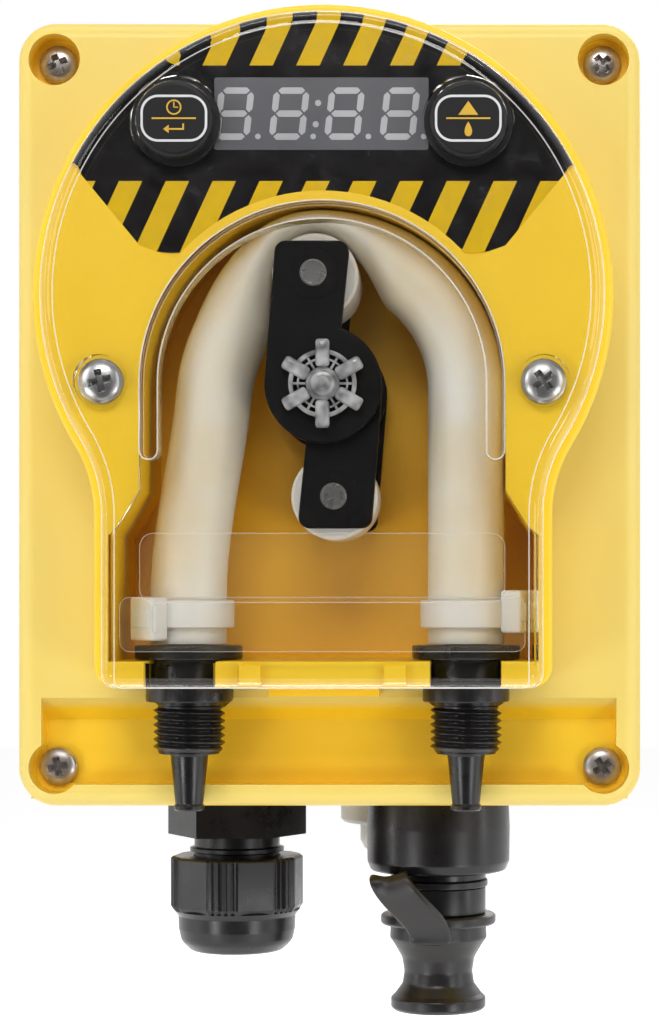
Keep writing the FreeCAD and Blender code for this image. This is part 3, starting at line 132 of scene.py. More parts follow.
def mixColour(tree, factor, first, second):
    # 6 and 7 are the node's colour inputs, 2 is its colour output
    return addNode(tree, "ShaderNodeMix", {0: factor, 6: first, 7: second}, data_type="RGBA").outputs[2]


def mixShaders(tree, factor, first, second):
    return addNode(tree, "ShaderNodeMixShader", {"Fac": factor, 1: first, 2: second}).outputs[0]


def addBump(tree, shader, heights, distance):
    # heights is a list of (value, strength), laid over each other
    normal = None
    for value, strength in heights:
        inputs = {"Height": value, "Strength": strength, "Distance": distance * mm}
        if normal is not None:
            inputs["Normal"] = normal
        normal = addNode(tree, "ShaderNodeBump", inputs).outputs["Normal"]
    setInputs(tree, shader, {"Normal": normal})


def setTones(tree, shader, look, clouds, marks, fromLow=0.3, fromHigh=0.7):
    # the clouds run between the look's two colours, the marks between its two roughness values
    setInputs(tree, shader, {
        "Base Color": mixColour(tree, spread(tree, clouds, 0.0, 1.0), look["colour"], look["shadow"]),
        "Roughness": spread(tree, marks, *look["roughness"], fromLow, fromHigh),
    })


def mouldedPlastic(name, look):
    # plastic as it leaves the mould: slight flow clouds, a fine grain and handling marks
    material, tree, shader = newMaterial(name)
    place = objectPlace(tree)
    cloud = noiseAt(tree, place, 22, 2.0)
    grain = noiseAt(tree, place, look.get("grainSize", 0.45), 3.0, 0.6)
    setTones(tree, shader, look, cloud, noiseAt(tree, place, 5.0, 5.0, 0.65))
    addBump(tree, shader, [(grain, look.get("grain", 0.15)), (cloud, 0.05)], look.get("depth", 0.05))
    setInputs(tree, shader, look.get("shader", {}))
    return material


def castMetal(name, look):
    # metal with turning or brushing lines along one axis, and dulled patches
    material, tree, shader = newMaterial(name)
    place = objectPlace(tree)
    stretch = addNode(tree, "ShaderNodeMapping", {"Vector": place, "Scale": look.get("lines", (1, 1, 1))})
    lines = noiseAt(tree, stretch.outputs["Vector"], 0.4, 4.0, 0.6)
    patches = noiseAt(tree, place, 4.0, 4.0, 0.6)
    setTones(tree, shader, look, patches, patches)
    addBump(tree, shader, [(lines, look.get("grain", 0.12))], 0.02)
    setInputs(tree, shader, {"Metallic": look.get("metallic", 1.0)})
    return material


def clearPlastic(name, look):
    # see-through plastic: a faint tint, hairline scuffs in the gloss, and gentle moulding waves in the surface;
    # the waves also mix the two tones, which on the star lie far apart and paint streaks of reflection
    material, tree, shader = newMaterial(name)
    place = objectPlace(tree)
    wave = noiseAt(tree, place, look.get("waveSize", 26), 1.0)
    setTones(tree, shader, look, wave, noiseAt(tree, place, 1.6, 5.0, 0.7), 0.5, 0.8)
    addBump(tree, shader, [(wave, look.get("wave", 0.05))], 0.2)
    setInputs(tree, shader, look["shader"])
    return material


def dress(names, material):
    # a carried-over part keeps its shape and gets the finish on every slot
    for name in names:
        piece = cadNodes[name]
        if not piece.data.materials:
            piece.data.materials.append(material)
        for slot in piece.material_slots:
            slot.material = material


yellowShell = {
    "colour": shade(253, 210, 40),
    "shadow": shade(250, 203, 32),
    "roughness": (0.34, 0.44),
    "grain": 0.10,
    "grainSize": 0.35,
    "depth": 0.03,
    "shader": {"IOR": 1.5, "Coat Weight": 0.12, "Coat Roughness": 0.3},
    "paintedSheenColour": shade(233, 210, 114),        # painted sheen: the front lamps' haze, painted as a paler yellow on the open front face
    "paintedSheenLevels": (70.5, 73.0, 75.5, 78.0),    # distances from the wall: starts, full, holds, ends
    "paintedSheenPatches": 30,
    "deepShadeColour": shade(255, 192, 20),          # painted shade: what lies deep behind the cover is painted a darker, warmer yellow, as it looks in shade
    "deepShadeLevels": (34.0, 38.0, 58.0, 68.0),
    "deepShadeMiddle": -2.0,                         # height of the middle of that region
    "deepShadeAcross": (46.0, 48.0),                 # to either side of the middle: holds, ends
    "deepShadeUp": (48.0, 52.0),                     # and above and below it
}


def casingWithPaintedLight(name, look):
    # the casing's plastic, with painted sheen making what lies at the level of the front face paler, and painted
    # shade making what lies deep behind the cover a darker, warmer yellow
    material = mouldedPlastic(name, look)
    tree = material.node_tree
    shader = tree.nodes["Principled BSDF"]
    place = objectPlace(tree)
    axes = splitAxes(tree, place)
    level = mathStep(tree, "MULTIPLY", axes["Y"], -1000.0)
    # painted sheen: a band at the front face's level, broken into patches, takes the paler colour
    patches = spread(tree, noiseAt(tree, place, look["paintedSheenPatches"]), 0.8, 1.0)
    paintedSheen = mathStep(tree, "MULTIPLY", bandMask(tree, level, *look["paintedSheenLevels"]), patches)
    # painted shade: deep in the chamber, fading out to the sides and above and below it, the colour turns darker
    # and warmer
    deep = bandMask(tree, level, *look["deepShadeLevels"])
    fromMiddle = mathStep(tree, "ADD", axes["Z"], -look["deepShadeMiddle"] * mm)
    for away, (holds, ends) in ((axes["X"], look["deepShadeAcross"]), (fromMiddle, look["deepShadeUp"])):
        fade = spread(tree, mathStep(tree, "ABSOLUTE", away), 1.0, 0.0, holds * mm, ends * mm)
        deep = mathStep(tree, "MULTIPLY", deep, fade)
    plain = shader.inputs["Base Color"].links[0].from_socket
    withPaintedSheen = mixColour(tree, paintedSheen, plain, look["paintedSheenColour"])
    setInputs(tree, shader, {"Base Color": mixColour(tree, deep, withPaintedSheen, look["deepShadeColour"])})
    return material


dress(["front_case", "rear_case"], casingWithPaintedLight("yellow_abs", yellowShell))

def finish(colour, shadow, roughness, *parts, **more):
    # two tones, the range of the roughness, and the parts that it dresses as they are
    return {"colour": shade(*colour), "shadow": shade(*shadow), "roughness": roughness, "parts": parts, **more}


# finishes without parts are for the pieces built further down
plasticLooks = {
    "black_nylon": finish(
        (24, 22, 24), (17, 16, 18), (0.24, 0.38), "gland_body", "gland_nut", "gland_locknut",
        "hose_connector_left", "hose_connector_right", "socket_body", "socket_locknut", "socket_insert",
        "switch_body", "switch_rocker", "tact_switches", "rotor_hub", grain=0.08, shader={"IOR": 1.48}),
    "fork_black": finish(
        (8, 6, 8), (5, 4, 5), (0.4, 0.5), "fork_plate_upper_front", "fork_plate_upper_rear",
        "fork_plate_lower_front", "fork_plate_lower_rear", grain=0.03, grainSize=0.8,
        shader={"Specular IOR Level": 0.16}),
    "black_rubber": finish(
        (30, 27, 27), (22, 20, 20), (0.26, 0.42), "rubber_cap", "cap_strap", "case_gasket", "gland_seal",
        grain=0.1, grainSize=0.6),
    "white_acetal": finish(
        (232, 230, 226), (222, 220, 214), (0.3, 0.42), "roller_upper", "roller_lower", grain=0.08,
        shader={"Subsurface Weight": 0.1, "Subsurface Scale": 0.001}),
    "white_nylon": finish(
        (232, 230, 226), (224, 222, 216), (0.34, 0.46), "cable_tie_left", "cable_tie_right", grain=0.12,
        shader={"Subsurface Weight": 0.2, "Subsurface Scale": 0.0015}),
    "milky_silicone": finish(
        (241, 239, 233), (230, 217, 190), (0.32, 0.44), "pump_tube", grain=0.06,
        shader={"Subsurface Weight": 0.5, "Subsurface Scale": 0.003, "Subsurface Radius": (1.0, 0.8, 0.5)}),
    "board_mask": finish((24, 92, 54), (18, 78, 44), (0.28, 0.4), "control_board", "power_board"),
    "coil_tape": finish((226, 190, 62), (214, 176, 50), (0.3, 0.42), "transformer_coil"),
    "terminal_green": finish((36, 132, 74), (30, 118, 64), (0.4, 0.52), "terminal_block"),
    "capacitor_sleeve": finish((34, 38, 52), (26, 30, 44), (0.26, 0.36), "capacitors"),
    "relay_case": finish((40, 74, 150), (32, 62, 132), (0.34, 0.44), "relay"),
    "display_filter": finish((96, 97, 103), (88, 89, 95), (0.3, 0.4), "display_module", grain=0.05),
    "unlit_segment": finish((196, 195, 200), (174, 174, 180), (0.3, 0.42), grain=0.04),
    "button_film": finish((24, 24, 25), (19, 19, 20), (0.4, 0.5), "button_left", "button_right", grain=0.05,
                          shader={"Specular IOR Level": 0.3}),
    "white_ink": finish((214, 214, 216), (200, 200, 203), (0.35, 0.5), grain=0.05),
    "amber_ink": finish((214, 172, 46), (202, 158, 36), (0.35, 0.5), grain=0.05),
    # painted highlight: bright, half-clear beads laid along the clear cover's edges
    "polished_edge": finish((250, 249, 246), (240, 238, 232), (0.1, 0.2), grain=0.0, shader={"Alpha": 0.36}),
    "pad_haze": finish((240, 228, 196), (232, 220, 188), (0.3, 0.5), grain=0.0, shader={"Alpha": 0.018}),
}
metalLooks = {
    "zinc_plate": finish((196, 195, 194), (168, 167, 166), (0.26, 0.4), "case_screws", "cover_screws",
                         "control_screws", "board_screws", "gearbox_screws", grain=0.1),
    "worn_zinc": finish((206, 200, 196), (150, 144, 142), (0.24, 0.4), grain=0.1, metallic=0.85),
    "pin_steel": finish((150, 149, 149), (128, 127, 127), (0.22, 0.36), grain=0.1, metallic=0.85),
    "ground_steel": finish((176, 174, 174), (150, 148, 148), (0.25, 0.4), "roller_pins", "output_shaft",
                           "wall_plate", lines=(1, 0.05, 1)),
    "drawn_steel": finish((188, 188, 190), (160, 160, 163), (0.3, 0.45), "gearbox", "motor_can",
                          "transformer_core", lines=(1, 0.05, 1)),
    "brass": finish((206, 170, 98), (180, 146, 80), (0.22, 0.36), "motor_terminals", "socket_pins",
                    "switch_tabs", "terminal_screws"),
}
clearLooks = {
    "clear_polycarbonate": finish((253, 252, 249), (251, 250, 246), (0.0, 0.06), "clear_cover",
                                  shader={"Transmission Weight": 1.0, "IOR": 1.46}),
    "cloudy_boot": finish((236, 234, 228), (228, 226, 218), (0.3, 0.4), "switch_boot",
                          shader={"Transmission Weight": 0.6, "IOR": 1.42}),
    # painted reflection: the dark second tone, mixed in over small waves, paints the light and dark streaks of
    # glassy plastic
    "frosted_plastic": finish((238, 238, 240), (128, 128, 132), (0.1, 0.25), wave=0.3, waveSize=2.4,
                              shader={"Transmission Weight": 0.45, "IOR": 1.46}),
}

materials = {}
for make, looks in ((mouldedPlastic, plasticLooks), (castMetal, metalLooks), (clearPlastic, clearLooks)):
    for name, look in looks.items():
        materials[name] = make(name, look)
        dress(look["parts"], materials[name])


def passLight(material, share):
    # lamps and soft light pass through the clear part, so that what lies behind it is lit and casts shadows
    tree = material.node_tree
    path = addNode(tree, "ShaderNodeLightPath").outputs
    clear = addNode(tree, "ShaderNodeBsdfTransparent", {"Color": (share, share, share, 1.0)})
    passing = mathStep(tree, "MAXIMUM", path["Is Shadow Ray"], path["Is Diffuse Ray"])
    surface = mixShaders(tree, passing, tree.nodes["Principled BSDF"].outputs[0], clear.outputs[0])
    setInputs(tree, tree.nodes["Material Output"], {"Surface": surface})


def pullIn(piece, amount):
    # a hair of air between a clear part and what it lies on, so that light passes it cleanly
    air = piece.modifiers.new("air", "DISPLACE")
    air.strength = -amount * mm
    air.mid_level = 0.0


def easeEdges(piece, width, segments, angle):
    # rounds off the sharp edges a little, so that they catch the light
    bevel = piece.modifiers.new("eased_edges", "BEVEL")
    bevel.width = width * mm
    bevel.segments = segments
    bevel.limit_method = "ANGLE"
    bevel.angle_limit = math.radians(angle)


coverLook = {
    "lightThrough": 0.9,    # share of the lamps' light that reaches what lies behind
    "air": 0.03,
    "eased": (0.18, 2, 40),
}
passLight(materials["clear_polycarbonate"], coverLook["lightThrough"])
pullIn(cadNodes["clear_cover"], coverLook["air"])
easeEdges(cadNodes["clear_cover"], *coverLook["eased"])

panelPrint = {
    "black": shade(19, 17, 20),
    "yellow": shade(232, 190, 26),
    "period": 8.35,       # millimetres from one stripe to the next
    "slant": 0.46,        # how far the tops lean to the right for each millimetre of height
    "topEdge": 60.7,      # stripes above this height
    "lowEdge": 40.1,      # and below this one
    "topStart": -21.4,    # where a yellow stripe begins on the left, at each edge
    "lowStart": -36.3,
    "roughness": (0.16, 0.28),
}


def hazardFilm(name, look):
    # black film with two bands of slanted yellow stripes printed on it
    material, tree, shader = newMaterial(name)
    place = objectPlace(tree)
    axes = splitAxes(tree, place)
    leaning = mathStep(tree, "SUBTRACT", axes["X"], mathStep(tree, "MULTIPLY", axes["Z"], look["slant"]))

    def band(edge, start, side):
        shifted = mathStep(tree, "ADD", leaning, (look["slant"] * edge - start) * mm)
        turns = mathStep(tree, "DIVIDE", shifted, look["period"] * mm)
        stripe = mathStep(tree, "LESS_THAN", mathStep(tree, "FRACT", turns), 0.5)
        return mathStep(tree, "MULTIPLY", stripe, mathStep(tree, side, axes["Z"], edge * mm))

    stripes = mathStep(tree, "ADD", band(look["topEdge"], look["topStart"], "GREATER_THAN"),
                       band(look["lowEdge"], look["lowStart"], "LESS_THAN"), clamp=True)
    ink = noiseAt(tree, place, 3.0, 4.0)
    yellow = mixColour(tree, spread(tree, ink, 0.0, 0.12), look["yellow"], look["black"])
    setInputs(tree, shader, {
        "Base Color": mixColour(tree, stripes, look["black"], yellow),
        "Roughness": spread(tree, ink, *look["roughness"]),
    })
    addBump(tree, shader, [(noiseAt(tree, place, 0.3, 2.0), 0.06)], 0.02)
    return material


materials["hazard_film"] = hazardFilm("hazard_film", panelPrint)
dress(["panel_overlay"], materials["hazard_film"])
print("finishes made")


def turned(centre, radius, angle):
    # the point at this angle, in radians, on the circle about the centre
    return centre[0] + radius * math.cos(angle), centre[1] + radius * math.sin(angle)


def arcPoints(x, z, radius, start, end, steps, first=0):
    return [turned((x, z), radius, start + (end - start) * step / steps) for step in range(first, steps + 1)]


def roundOutline(x, z, radius, steps=24):
    # a full circle, without its first point again at the end
    return arcPoints(x, z, radius, 0, 2 * math.pi, steps)[:-1]


def roundedLoop(x, z, halfX, halfZ, corner, steps=10):
    points = []
    for quarter, (signX, signZ) in enumerate(((1, 1), (-1, 1), (-1, -1), (1, -1))):
        start = quarter * math.pi / 2
        points += arcPoints(x + signX * (halfX - corner), z + signZ * (halfZ - corner), corner,
                            start, start + math.pi / 2, steps)
    return points


def roundedProfile(points, steps=6):
    # points are (radius, height, fillet) in millimetres; each fillet becomes a short arc
    result = []
    for index, (radius, height, fillet) in enumerate(points):
        corner = Vector((radius, height))
        if fillet == 0 or index in (0, len(points) - 1):
            result.append(corner)
            continue
        before = Vector(points[index - 1][:2]) - corner
        after = Vector(points[index + 1][:2]) - corner
        half = before.angle(after) / 2
        cut = min(fillet / math.tan(half), before.length * 0.49, after.length * 0.49)
        before.normalize()
        after.normalize()
        bend = cut * math.tan(half)
        centre = corner + (before + after).normalized() * (bend / math.sin(half))
        first = corner + before * cut - centre
        last = corner + after * cut - centre
        for step in range(steps + 1):
            share = step / steps
            result.append(centre + (first * (1 - share) + last * share).normalized() * bend)
    return result


def finishMesh(mesh, sharpAngle=32):
    mesh.polygons.foreach_set("use_smooth", [True] * len(mesh.polygons))
    mesh.set_sharp_from_angle(angle=math.radians(sharpAngle))
    mesh.update()
    return mesh


def takeMesh(work, name):
    mesh = bpy.data.meshes.new(name)
    work.to_mesh(mesh)
    work.free()
    return mesh


def bridge(work, here, there):
    # a strip of faces between two rings of corners
    for index in range(len(here)):
        after = (index + 1) % len(here)
        work.faces.new((here[index], here[after], there[after], there[index]))


def gridMesh(name, rows, closeRows=False, sharpAngle=32):
    # rows of points, each row a closed ring; the end rings are capped unless the rows close up
    work = bmesh.new()
    rings = [[work.verts.new(Vector(point) * mm) for point in row] for row in rows]
    for index in range(len(rings) - (0 if closeRows else 1)):
        bridge(work, rings[index], rings[(index + 1) % len(rings)])
    if not closeRows:
        work.faces.new(rings[0][::-1])
        work.faces.new(rings[-1])
    bmesh.ops.remove_doubles(work, verts=work.verts, dist=0.000002)
    bmesh.ops.recalc_face_normals(work, faces=work.faces)
    return finishMesh(takeMesh(work, name), sharpAngle)


def latheMesh(name, points, axis, steps=96, closed=True, change=None, sharpAngle=32):
    # spins a profile about an upright axis; change(angle, radius, height) can bend each point
    profile = roundedProfile(points + [points[0]])[:-1] if closed else roundedProfile(points)
    rows = []
    for radius, height in profile:
        row = []
        for step in range(steps):
            angle = 2 * math.pi * step / steps
            out, up = change(angle, radius, height) if change else (radius, height)
            row.append((*turned(axis, out, angle), up))
        rows.append(row)
    return gridMesh(name, rows, closed, sharpAngle)


def flatMesh(name, outlines, level, thick):
    # flat shapes: each outline is a list of (x, height), the level is their back's distance from the wall
    work = bmesh.new()
    for outline in outlines:
        back, front = [[work.verts.new((x * mm, -out * mm, z * mm)) for x, z in outline]
                       for out in (level, level + thick)]
        work.faces.new(front)
        work.faces.new(back[::-1])
        bridge(work, back, front)
    bmesh.ops.recalc_face_normals(work, faces=work.faces)
    return takeMesh(work, name)


def bandMesh(name, outer, inner, level, thick):
    # flat line between two outlines with the same number of points
    work = bmesh.new()
    layers = [[work.verts.new((x * mm, -out * mm, z * mm)) for x, z in outline]
              for outline in (outer, inner) for out in (level, level + thick)]
    for first, second in ((0, 1), (1, 3), (3, 2), (2, 0)):
        bridge(work, layers[first], layers[second])
    bmesh.ops.recalc_face_normals(work, faces=work.faces)
    return takeMesh(work, name)


def softBlock(name, size, place, turn, edge):
    # block with rounded edges; size and place in millimetres, turn is a rotation matrix
    work = bmesh.new()
    bmesh.ops.create_cube(work, size=1)
    bmesh.ops.scale(work, vec=Vector(size) * mm, verts=work.verts)
    bmesh.ops.bevel(work, geom=work.edges[:], offset=edge * mm, segments=3, profile=0.5, affect="EDGES")
    bmesh.ops.rotate(work, cent=(0, 0, 0), matrix=turn, verts=work.verts)
    bmesh.ops.translate(work, vec=Vector(place) * mm, verts=work.verts)
    return finishMesh(takeMesh(work, name))


def joinMeshes(name, meshes):
    work = bmesh.new()
    for mesh in meshes:
        work.from_mesh(mesh)
        bpy.data.meshes.remove(mesh)
    return finishMesh(takeMesh(work, name))


def forwardMesh(mesh, x, height):
    # turns a piece made about the upright axis so that its axis points to the front at (x, height);
    # its profile's heights become distances from the wall
    turn = Matrix.Rotation(math.radians(90), 4, "X")
    mesh.transform(Matrix.Translation((x * mm, 0, height * mm)) @ turn)
    return mesh


def addPiece(name, mesh, finishName, stoodFor=None, body="housing"):
    piece = addObject(name, mesh)
    mesh.materials.append(materials[finishName])
    if body:
        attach(piece, body)
    if stoodFor:
        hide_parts(stoodFor)
    return piece


def ease(value):
    value = max(0.0, min(1.0, value))
    return value * value * (3 - 2 * value)


# the tube's two legs and what stands on them: across from the middle, and minus the distance from the wall
hoseAxes = {"left": (-25.5, -77.4), "right": (25.5, -77.4)}
rotorPlace = {
    "height": 4.0,
    "pinCircle": 20.0,
    "pinTilt": 5.0,         # degrees by which the arms lean to the left at the top
    "rollerRadius": 8.0,
}
pumpTube = {
    "radius": 7.0,
    "wall": 2.1,
    "end": -42.6,
    "thinnest": 4.4,        # where the upper roller presses it
    "pressReach": 44.0,     # degrees to either side of the roller over which it comes back to round
    "slack": 5.2,           # how far the left side hangs away from the chamber wall
    "slackHeights": (-34.0, 12.0),    # on the leg the slack grows between these heights
    "slackAngles": (157.0, 98.0),     # and on the bend it dies out between these angles
}


def tubeRings(look, inset, legSteps=40, arcSteps=96, around=48):
    height, pins, rollers = rotorPlace["height"], rotorPlace["pinCircle"], rotorPlace["rollerRadius"]
    bend, depth = hoseAxes["right"]
    full = 2 * look["radius"]
    outside = bend + look["radius"]
    drop = height - look["end"]
    bendStart, bendEnd = look["slackAngles"]

    def legSlack(at):
        low, high = look["slackHeights"]
        return look["slack"] * ease((at - low) / (high - low))

    def bendSlack(angle):
        return look["slack"] * ease((angle - bendEnd) / (bendStart - bendEnd))

    def thicknessAt(angle):
        away = abs(angle - 90 - rotorPlace["pinTilt"])
        eased = look["thinnest"] + (full - look["thinnest"]) * ease(away / look["pressReach"])
        side = pins * math.sin(math.radians(away))
        if side >= rollers:
            return eased
        reach = pins * math.cos(math.radians(away)) + math.sqrt(rollers ** 2 - side * side)
        return max(look["thinnest"], min(outside - reach - bendSlack(angle), eased))

    # places along the tube's middle: x, height, thickness, angle of its outer side
    places = []
    for index in range(legSteps):
        at = look["end"] + drop * index / legSteps
        places.append((legSlack(at) - bend, at, full, 180))
    for index in range(arcSteps + 1):
        angle = 180 - 180.0 * index / arcSteps
        thick = thicknessAt(angle)
        outX, outZ = turned((0, 0), 1, math.radians(angle))
        radius = outside - thick / 2
        radius -= legSlack(height + radius * outZ) if angle > bendStart else bendSlack(angle)
        places.append((radius * outX, height + radius * outZ, thick, angle))
    for index in range(1, legSteps + 1):
        places.append((bend, height - drop * index / legSteps, full, 0))

    rings = []
    for x, z, thick, angle in places:
        outX, outZ = turned((0, 0), 1, math.radians(angle))
        halfWide = (thick + math.pi / 2 * (full - thick)) / 2 - inset
        halfThick = thick / 2 - inset
        ring = []
        for step in range(around):
            turn = 2 * math.pi * step / around
            out = halfThick * math.cos(turn)
            ring.append((x + out * outX, depth - halfWide * math.sin(turn), z + out * outZ))
        rings.append(ring)
    return rings


tubeSkin = tubeRings(pumpTube, 0.0) + tubeRings(pumpTube, pumpTube["wall"])[::-1]
addPiece("silicone_tube", gridMesh("pump_tube_skin", tubeSkin, closeRows=True, sharpAngle=60), "milky_silicone",
         "pump_tube")

hoseConnector = {
    "barbs": (-33.8, -36.8, -39.8),    # heights of the rings that hold the tube
    "threadTop": -54.0,
    "threadBottom": -62.5,
    "pitch": 1.337,
    "crest": 6.58,
    "root": 5.75,
    "ridgeHalf": 0.44,      # half the ridge's foot, as a share of the pitch
    "ridgeFlat": 0.92,      # share of its height at which the ridge is cut flat
    "fadeTop": 0.8,         # millimetres over which the thread starts and ends
    "fadeFoot": 0.9,
}


def buildConnector(axis, label):
    look = hoseConnector
    body = latheMesh(label + "_body", [
        (1.7, -31.4, 0), (3.7, -31.4, 0.2),
        *[(radius, height, 0.1) for height in look["barbs"] for radius in (4.6, 4.0)],
        (4.0, -42.9, 0.2), (9.9, -42.9, 0.3), (9.9, -45.4, 0.3), (6.2, -45.4, 0.1), (6.2, -50.4, 0.1),
        (8.0, -50.4, 0.35), (8.0, -53.3, 0.35),
        (5.6, -53.3, 0.15), (5.6, -54.2, 0.1), (5.5, -54.4, 0), (5.5, -62.4, 0), (5.6, -62.9, 0.2),
        (3.5, -62.95, 0.5), (2.55, -72.1, 0.2), (2.8, -72.5, 0.15), (2.8, -73.1, 0.15), (2.5, -73.4, 0.1),
        (1.7, -73.4, 0),
    ], axis)
    rows = []
    height = look["threadTop"]
    around = 96
    while height > look["threadBottom"]:
        fade = min(1.0, (look["threadTop"] - height) / look["fadeTop"],
                   (height - look["threadBottom"]) / look["fadeFoot"])
        ring = []
        for step in range(around):
            turn = step / around
            phase = (height / look["pitch"] + turn) % 1.0
            ridge = max(0.0, 1 - abs(phase - 0.5) / look["ridgeHalf"]) ** 0.85
            rise = min(ridge, look["ridgeFlat"]) / look["ridgeFlat"] * max(0.0, fade)
            radius = look["root"] + (look["crest"] - look["root"]) * rise
            ring.append((*turned(axis, radius, 2 * math.pi * turn), height))
        rows.append(ring)
        height -= look["pitch"] / 12
    return joinMeshes(label, [body, gridMesh(label + "_thread", rows, sharpAngle=60)])


for label, axis in hoseAxes.items():
    addPiece("connector_" + label, buildConnector(axis, "threaded_" + label), "black_nylon",
             "hose_connector_" + label)
print("tube and hose connectors built")

cableTie = {
    "bandRadii": (7.12, 8.4),
    "bandTop": -34.6,
    "bandBottom": -39.7,
    "head": (4.0, 6.0, 7.8),
    "window": (4.4, 4.6, 3.4),
    "tail": (1.3, 5.8, 4.9),
    "tailShift": (1.2, 0.6, 0.0),
    # degrees by which the head stands round the tube, its lowest height, its distance from the axis
    "places": {"left": (230, -41.9, 9.9), "right": (340, -40.6, 9.7)},
}


def buildTie(look, axis, turn, headBottom, headRadius):
    inner, outer = look["bandRadii"]
    band = latheMesh("tie_band", [(inner, look["bandTop"], 0.25), (outer, look["bandTop"], 0.35),
                                  (outer, look["bandBottom"], 0.35), (inner, look["bandBottom"], 0.25)], axis)
    out = Matrix.Rotation(math.radians(turn), 3, "Z")
    middle = Vector((*turned(axis, headRadius, math.radians(turn)), headBottom + look["head"][2] / 2))
    head = softBlock("tie_head", look["head"], middle, out, 0.55)
    window = softBlock("tie_window", look["window"], middle, out, 0.3)
    tail = softBlock("tie_tail", look["tail"], middle + out @ Vector(look["tailShift"]), out, 0.25)
    return joinMeshes("tie", [band, head, window, tail])


for label, place in cableTie["places"].items():
    addPiece("tie_" + label, buildTie(cableTie, hoseAxes[label], *place), "white_nylon",
             "cable_tie_" + label)

cableGland = {
    "axis": (-20.2, -40.0),
    "flatReach": 12.55,     # middle of a flat to the axis
    "flatHalf": 16.5,       # half a flat's width in degrees
    "cornerReach": 13.1,    # over the ribbed corners
    "turn": 8.0,            # degrees by which a ribbed corner stands left of the front
    "ribStep": 6.2,
    "ribDepth": 0.5,
    "gripFoot": -95.85,     # the flats end at this height
    "gripInner": 11.9,      # and change only what lies further out than this
}


def gripChange(angle, radius, height):
    # six flats with ribbed corners between them, over the upper part only
    look = cableGland
    if height < look["gripFoot"] or radius < look["gripInner"]:
        return radius, height
    fromFlat = abs((math.degrees(angle) + 90 + look["turn"]) % 60 - 30)
    if fromFlat < look["flatHalf"]:
        reach = look["flatReach"] / math.cos(math.radians(fromFlat))
    else:
        wave = 0.5 + 0.5 * math.cos(2 * math.pi * (30 - fromFlat) / look["ribStep"])
        reach = look["cornerReach"] - look["ribDepth"] * (1 - wave)
    return reach + (radius - look["cornerReach"]), height


addPiece("nut_with_dome", latheMesh("gland_nut_shell", [
    (8.65, -85.2, 0.2), (12.6, -85.2, 0.3), (13.1, -85.6, 0.3), (13.1, -95.0, 0.3), (12.6, -95.8, 0),
    (12.45, -95.95, 0.1), (11.6, -97.0, 0.4), (11.5, -99.6, 1.6), (11.0, -102.0, 2.6), (9.0, -103.95, 2.0),
    (7.0, -104.2, 0.4), (5.6, -104.1, 0.3), (5.6, -99.2, 0.2), (8.65, -98.0, 0),
], cableGland["axis"], 432, change=gripChange, sharpAngle=40), "black_nylon", "gland_nut")

probeSocket = {"axis": (19.8, -40.0)}
addPiece("smooth_collar_socket", latheMesh("socket_shell", [
    (7.4, -61.0, 0.2), (9.0, -61.0, 0.3), (9.0, -73.0, 0), (13.9, -73.0, 0.3), (14.2, -79.5, 8.0),
    (14.1, -86.3, 1.6), (13.4, -88.0, 0.8), (11.8, -88.4, 0.4), (9.4, -88.4, 0.1), (9.4, -89.7, 0.05),
    (8.4, -89.7, 0.05), (8.4, -91.5, 0.05), (9.4, -91.5, 0.05), (9.4, -96.6, 0.3), (7.4, -96.6, 0.2),
], probeSocket["axis"], 120), "black_nylon", "socket_body")
addPiece("waisted_cap", latheMesh("cap_body", [
    (0, -90.0, 0), (6.6, -90.0, 0.4), (7.1, -91.4, 0.4), (7.1, -96.7, 0.1), (11.0, -96.7, 0.3),
    (11.4, -97.1, 0.4), (11.4, -98.4, 0.4), (11.0, -98.8, 0.3), (9.5, -98.8, 0.2), (9.6, -101.5, 0.7),
    (8.7, -102.8, 1.0), (7.2, -105.4, 3.0), (6.75, -108.2, 3.0), (7.1, -110.6, 2.0), (8.6, -112.6, 1.0),
    (9.4, -113.4, 0.6), (9.4, -115.2, 0.6), (8.7, -115.8, 0.4), (0, -115.8, 0),
], probeSocket["axis"], 120, closed=False), "black_rubber", "rubber_cap", "cap")

strapLook = {
    "halfWide": 4.1,
    "thick": 1.5,
    "stays": -92.2,      # a height on the strap near its socket end
    "follows": -99.8,    # and one near its cap end
    # the band's middle line: out from the socket's axis, degrees left of the front, height
    "path": [
        (9.9, 40, -90.6), (12.2, 40, -90.6), (14.1, 39, -90.5), (15.3, 38, -90.0), (15.9, 37, -89.0),
        (16.5, 35, -88.3), (17.0, 32, -89.4), (16.9, 27, -91.2), (16.3, 21, -93.2), (15.3, 15, -95.2),
        (14.1, 10, -97.0), (13.0, 7, -98.6), (12.45, 6, -100.2), (12.3, 6, -101.8),
    ],
}


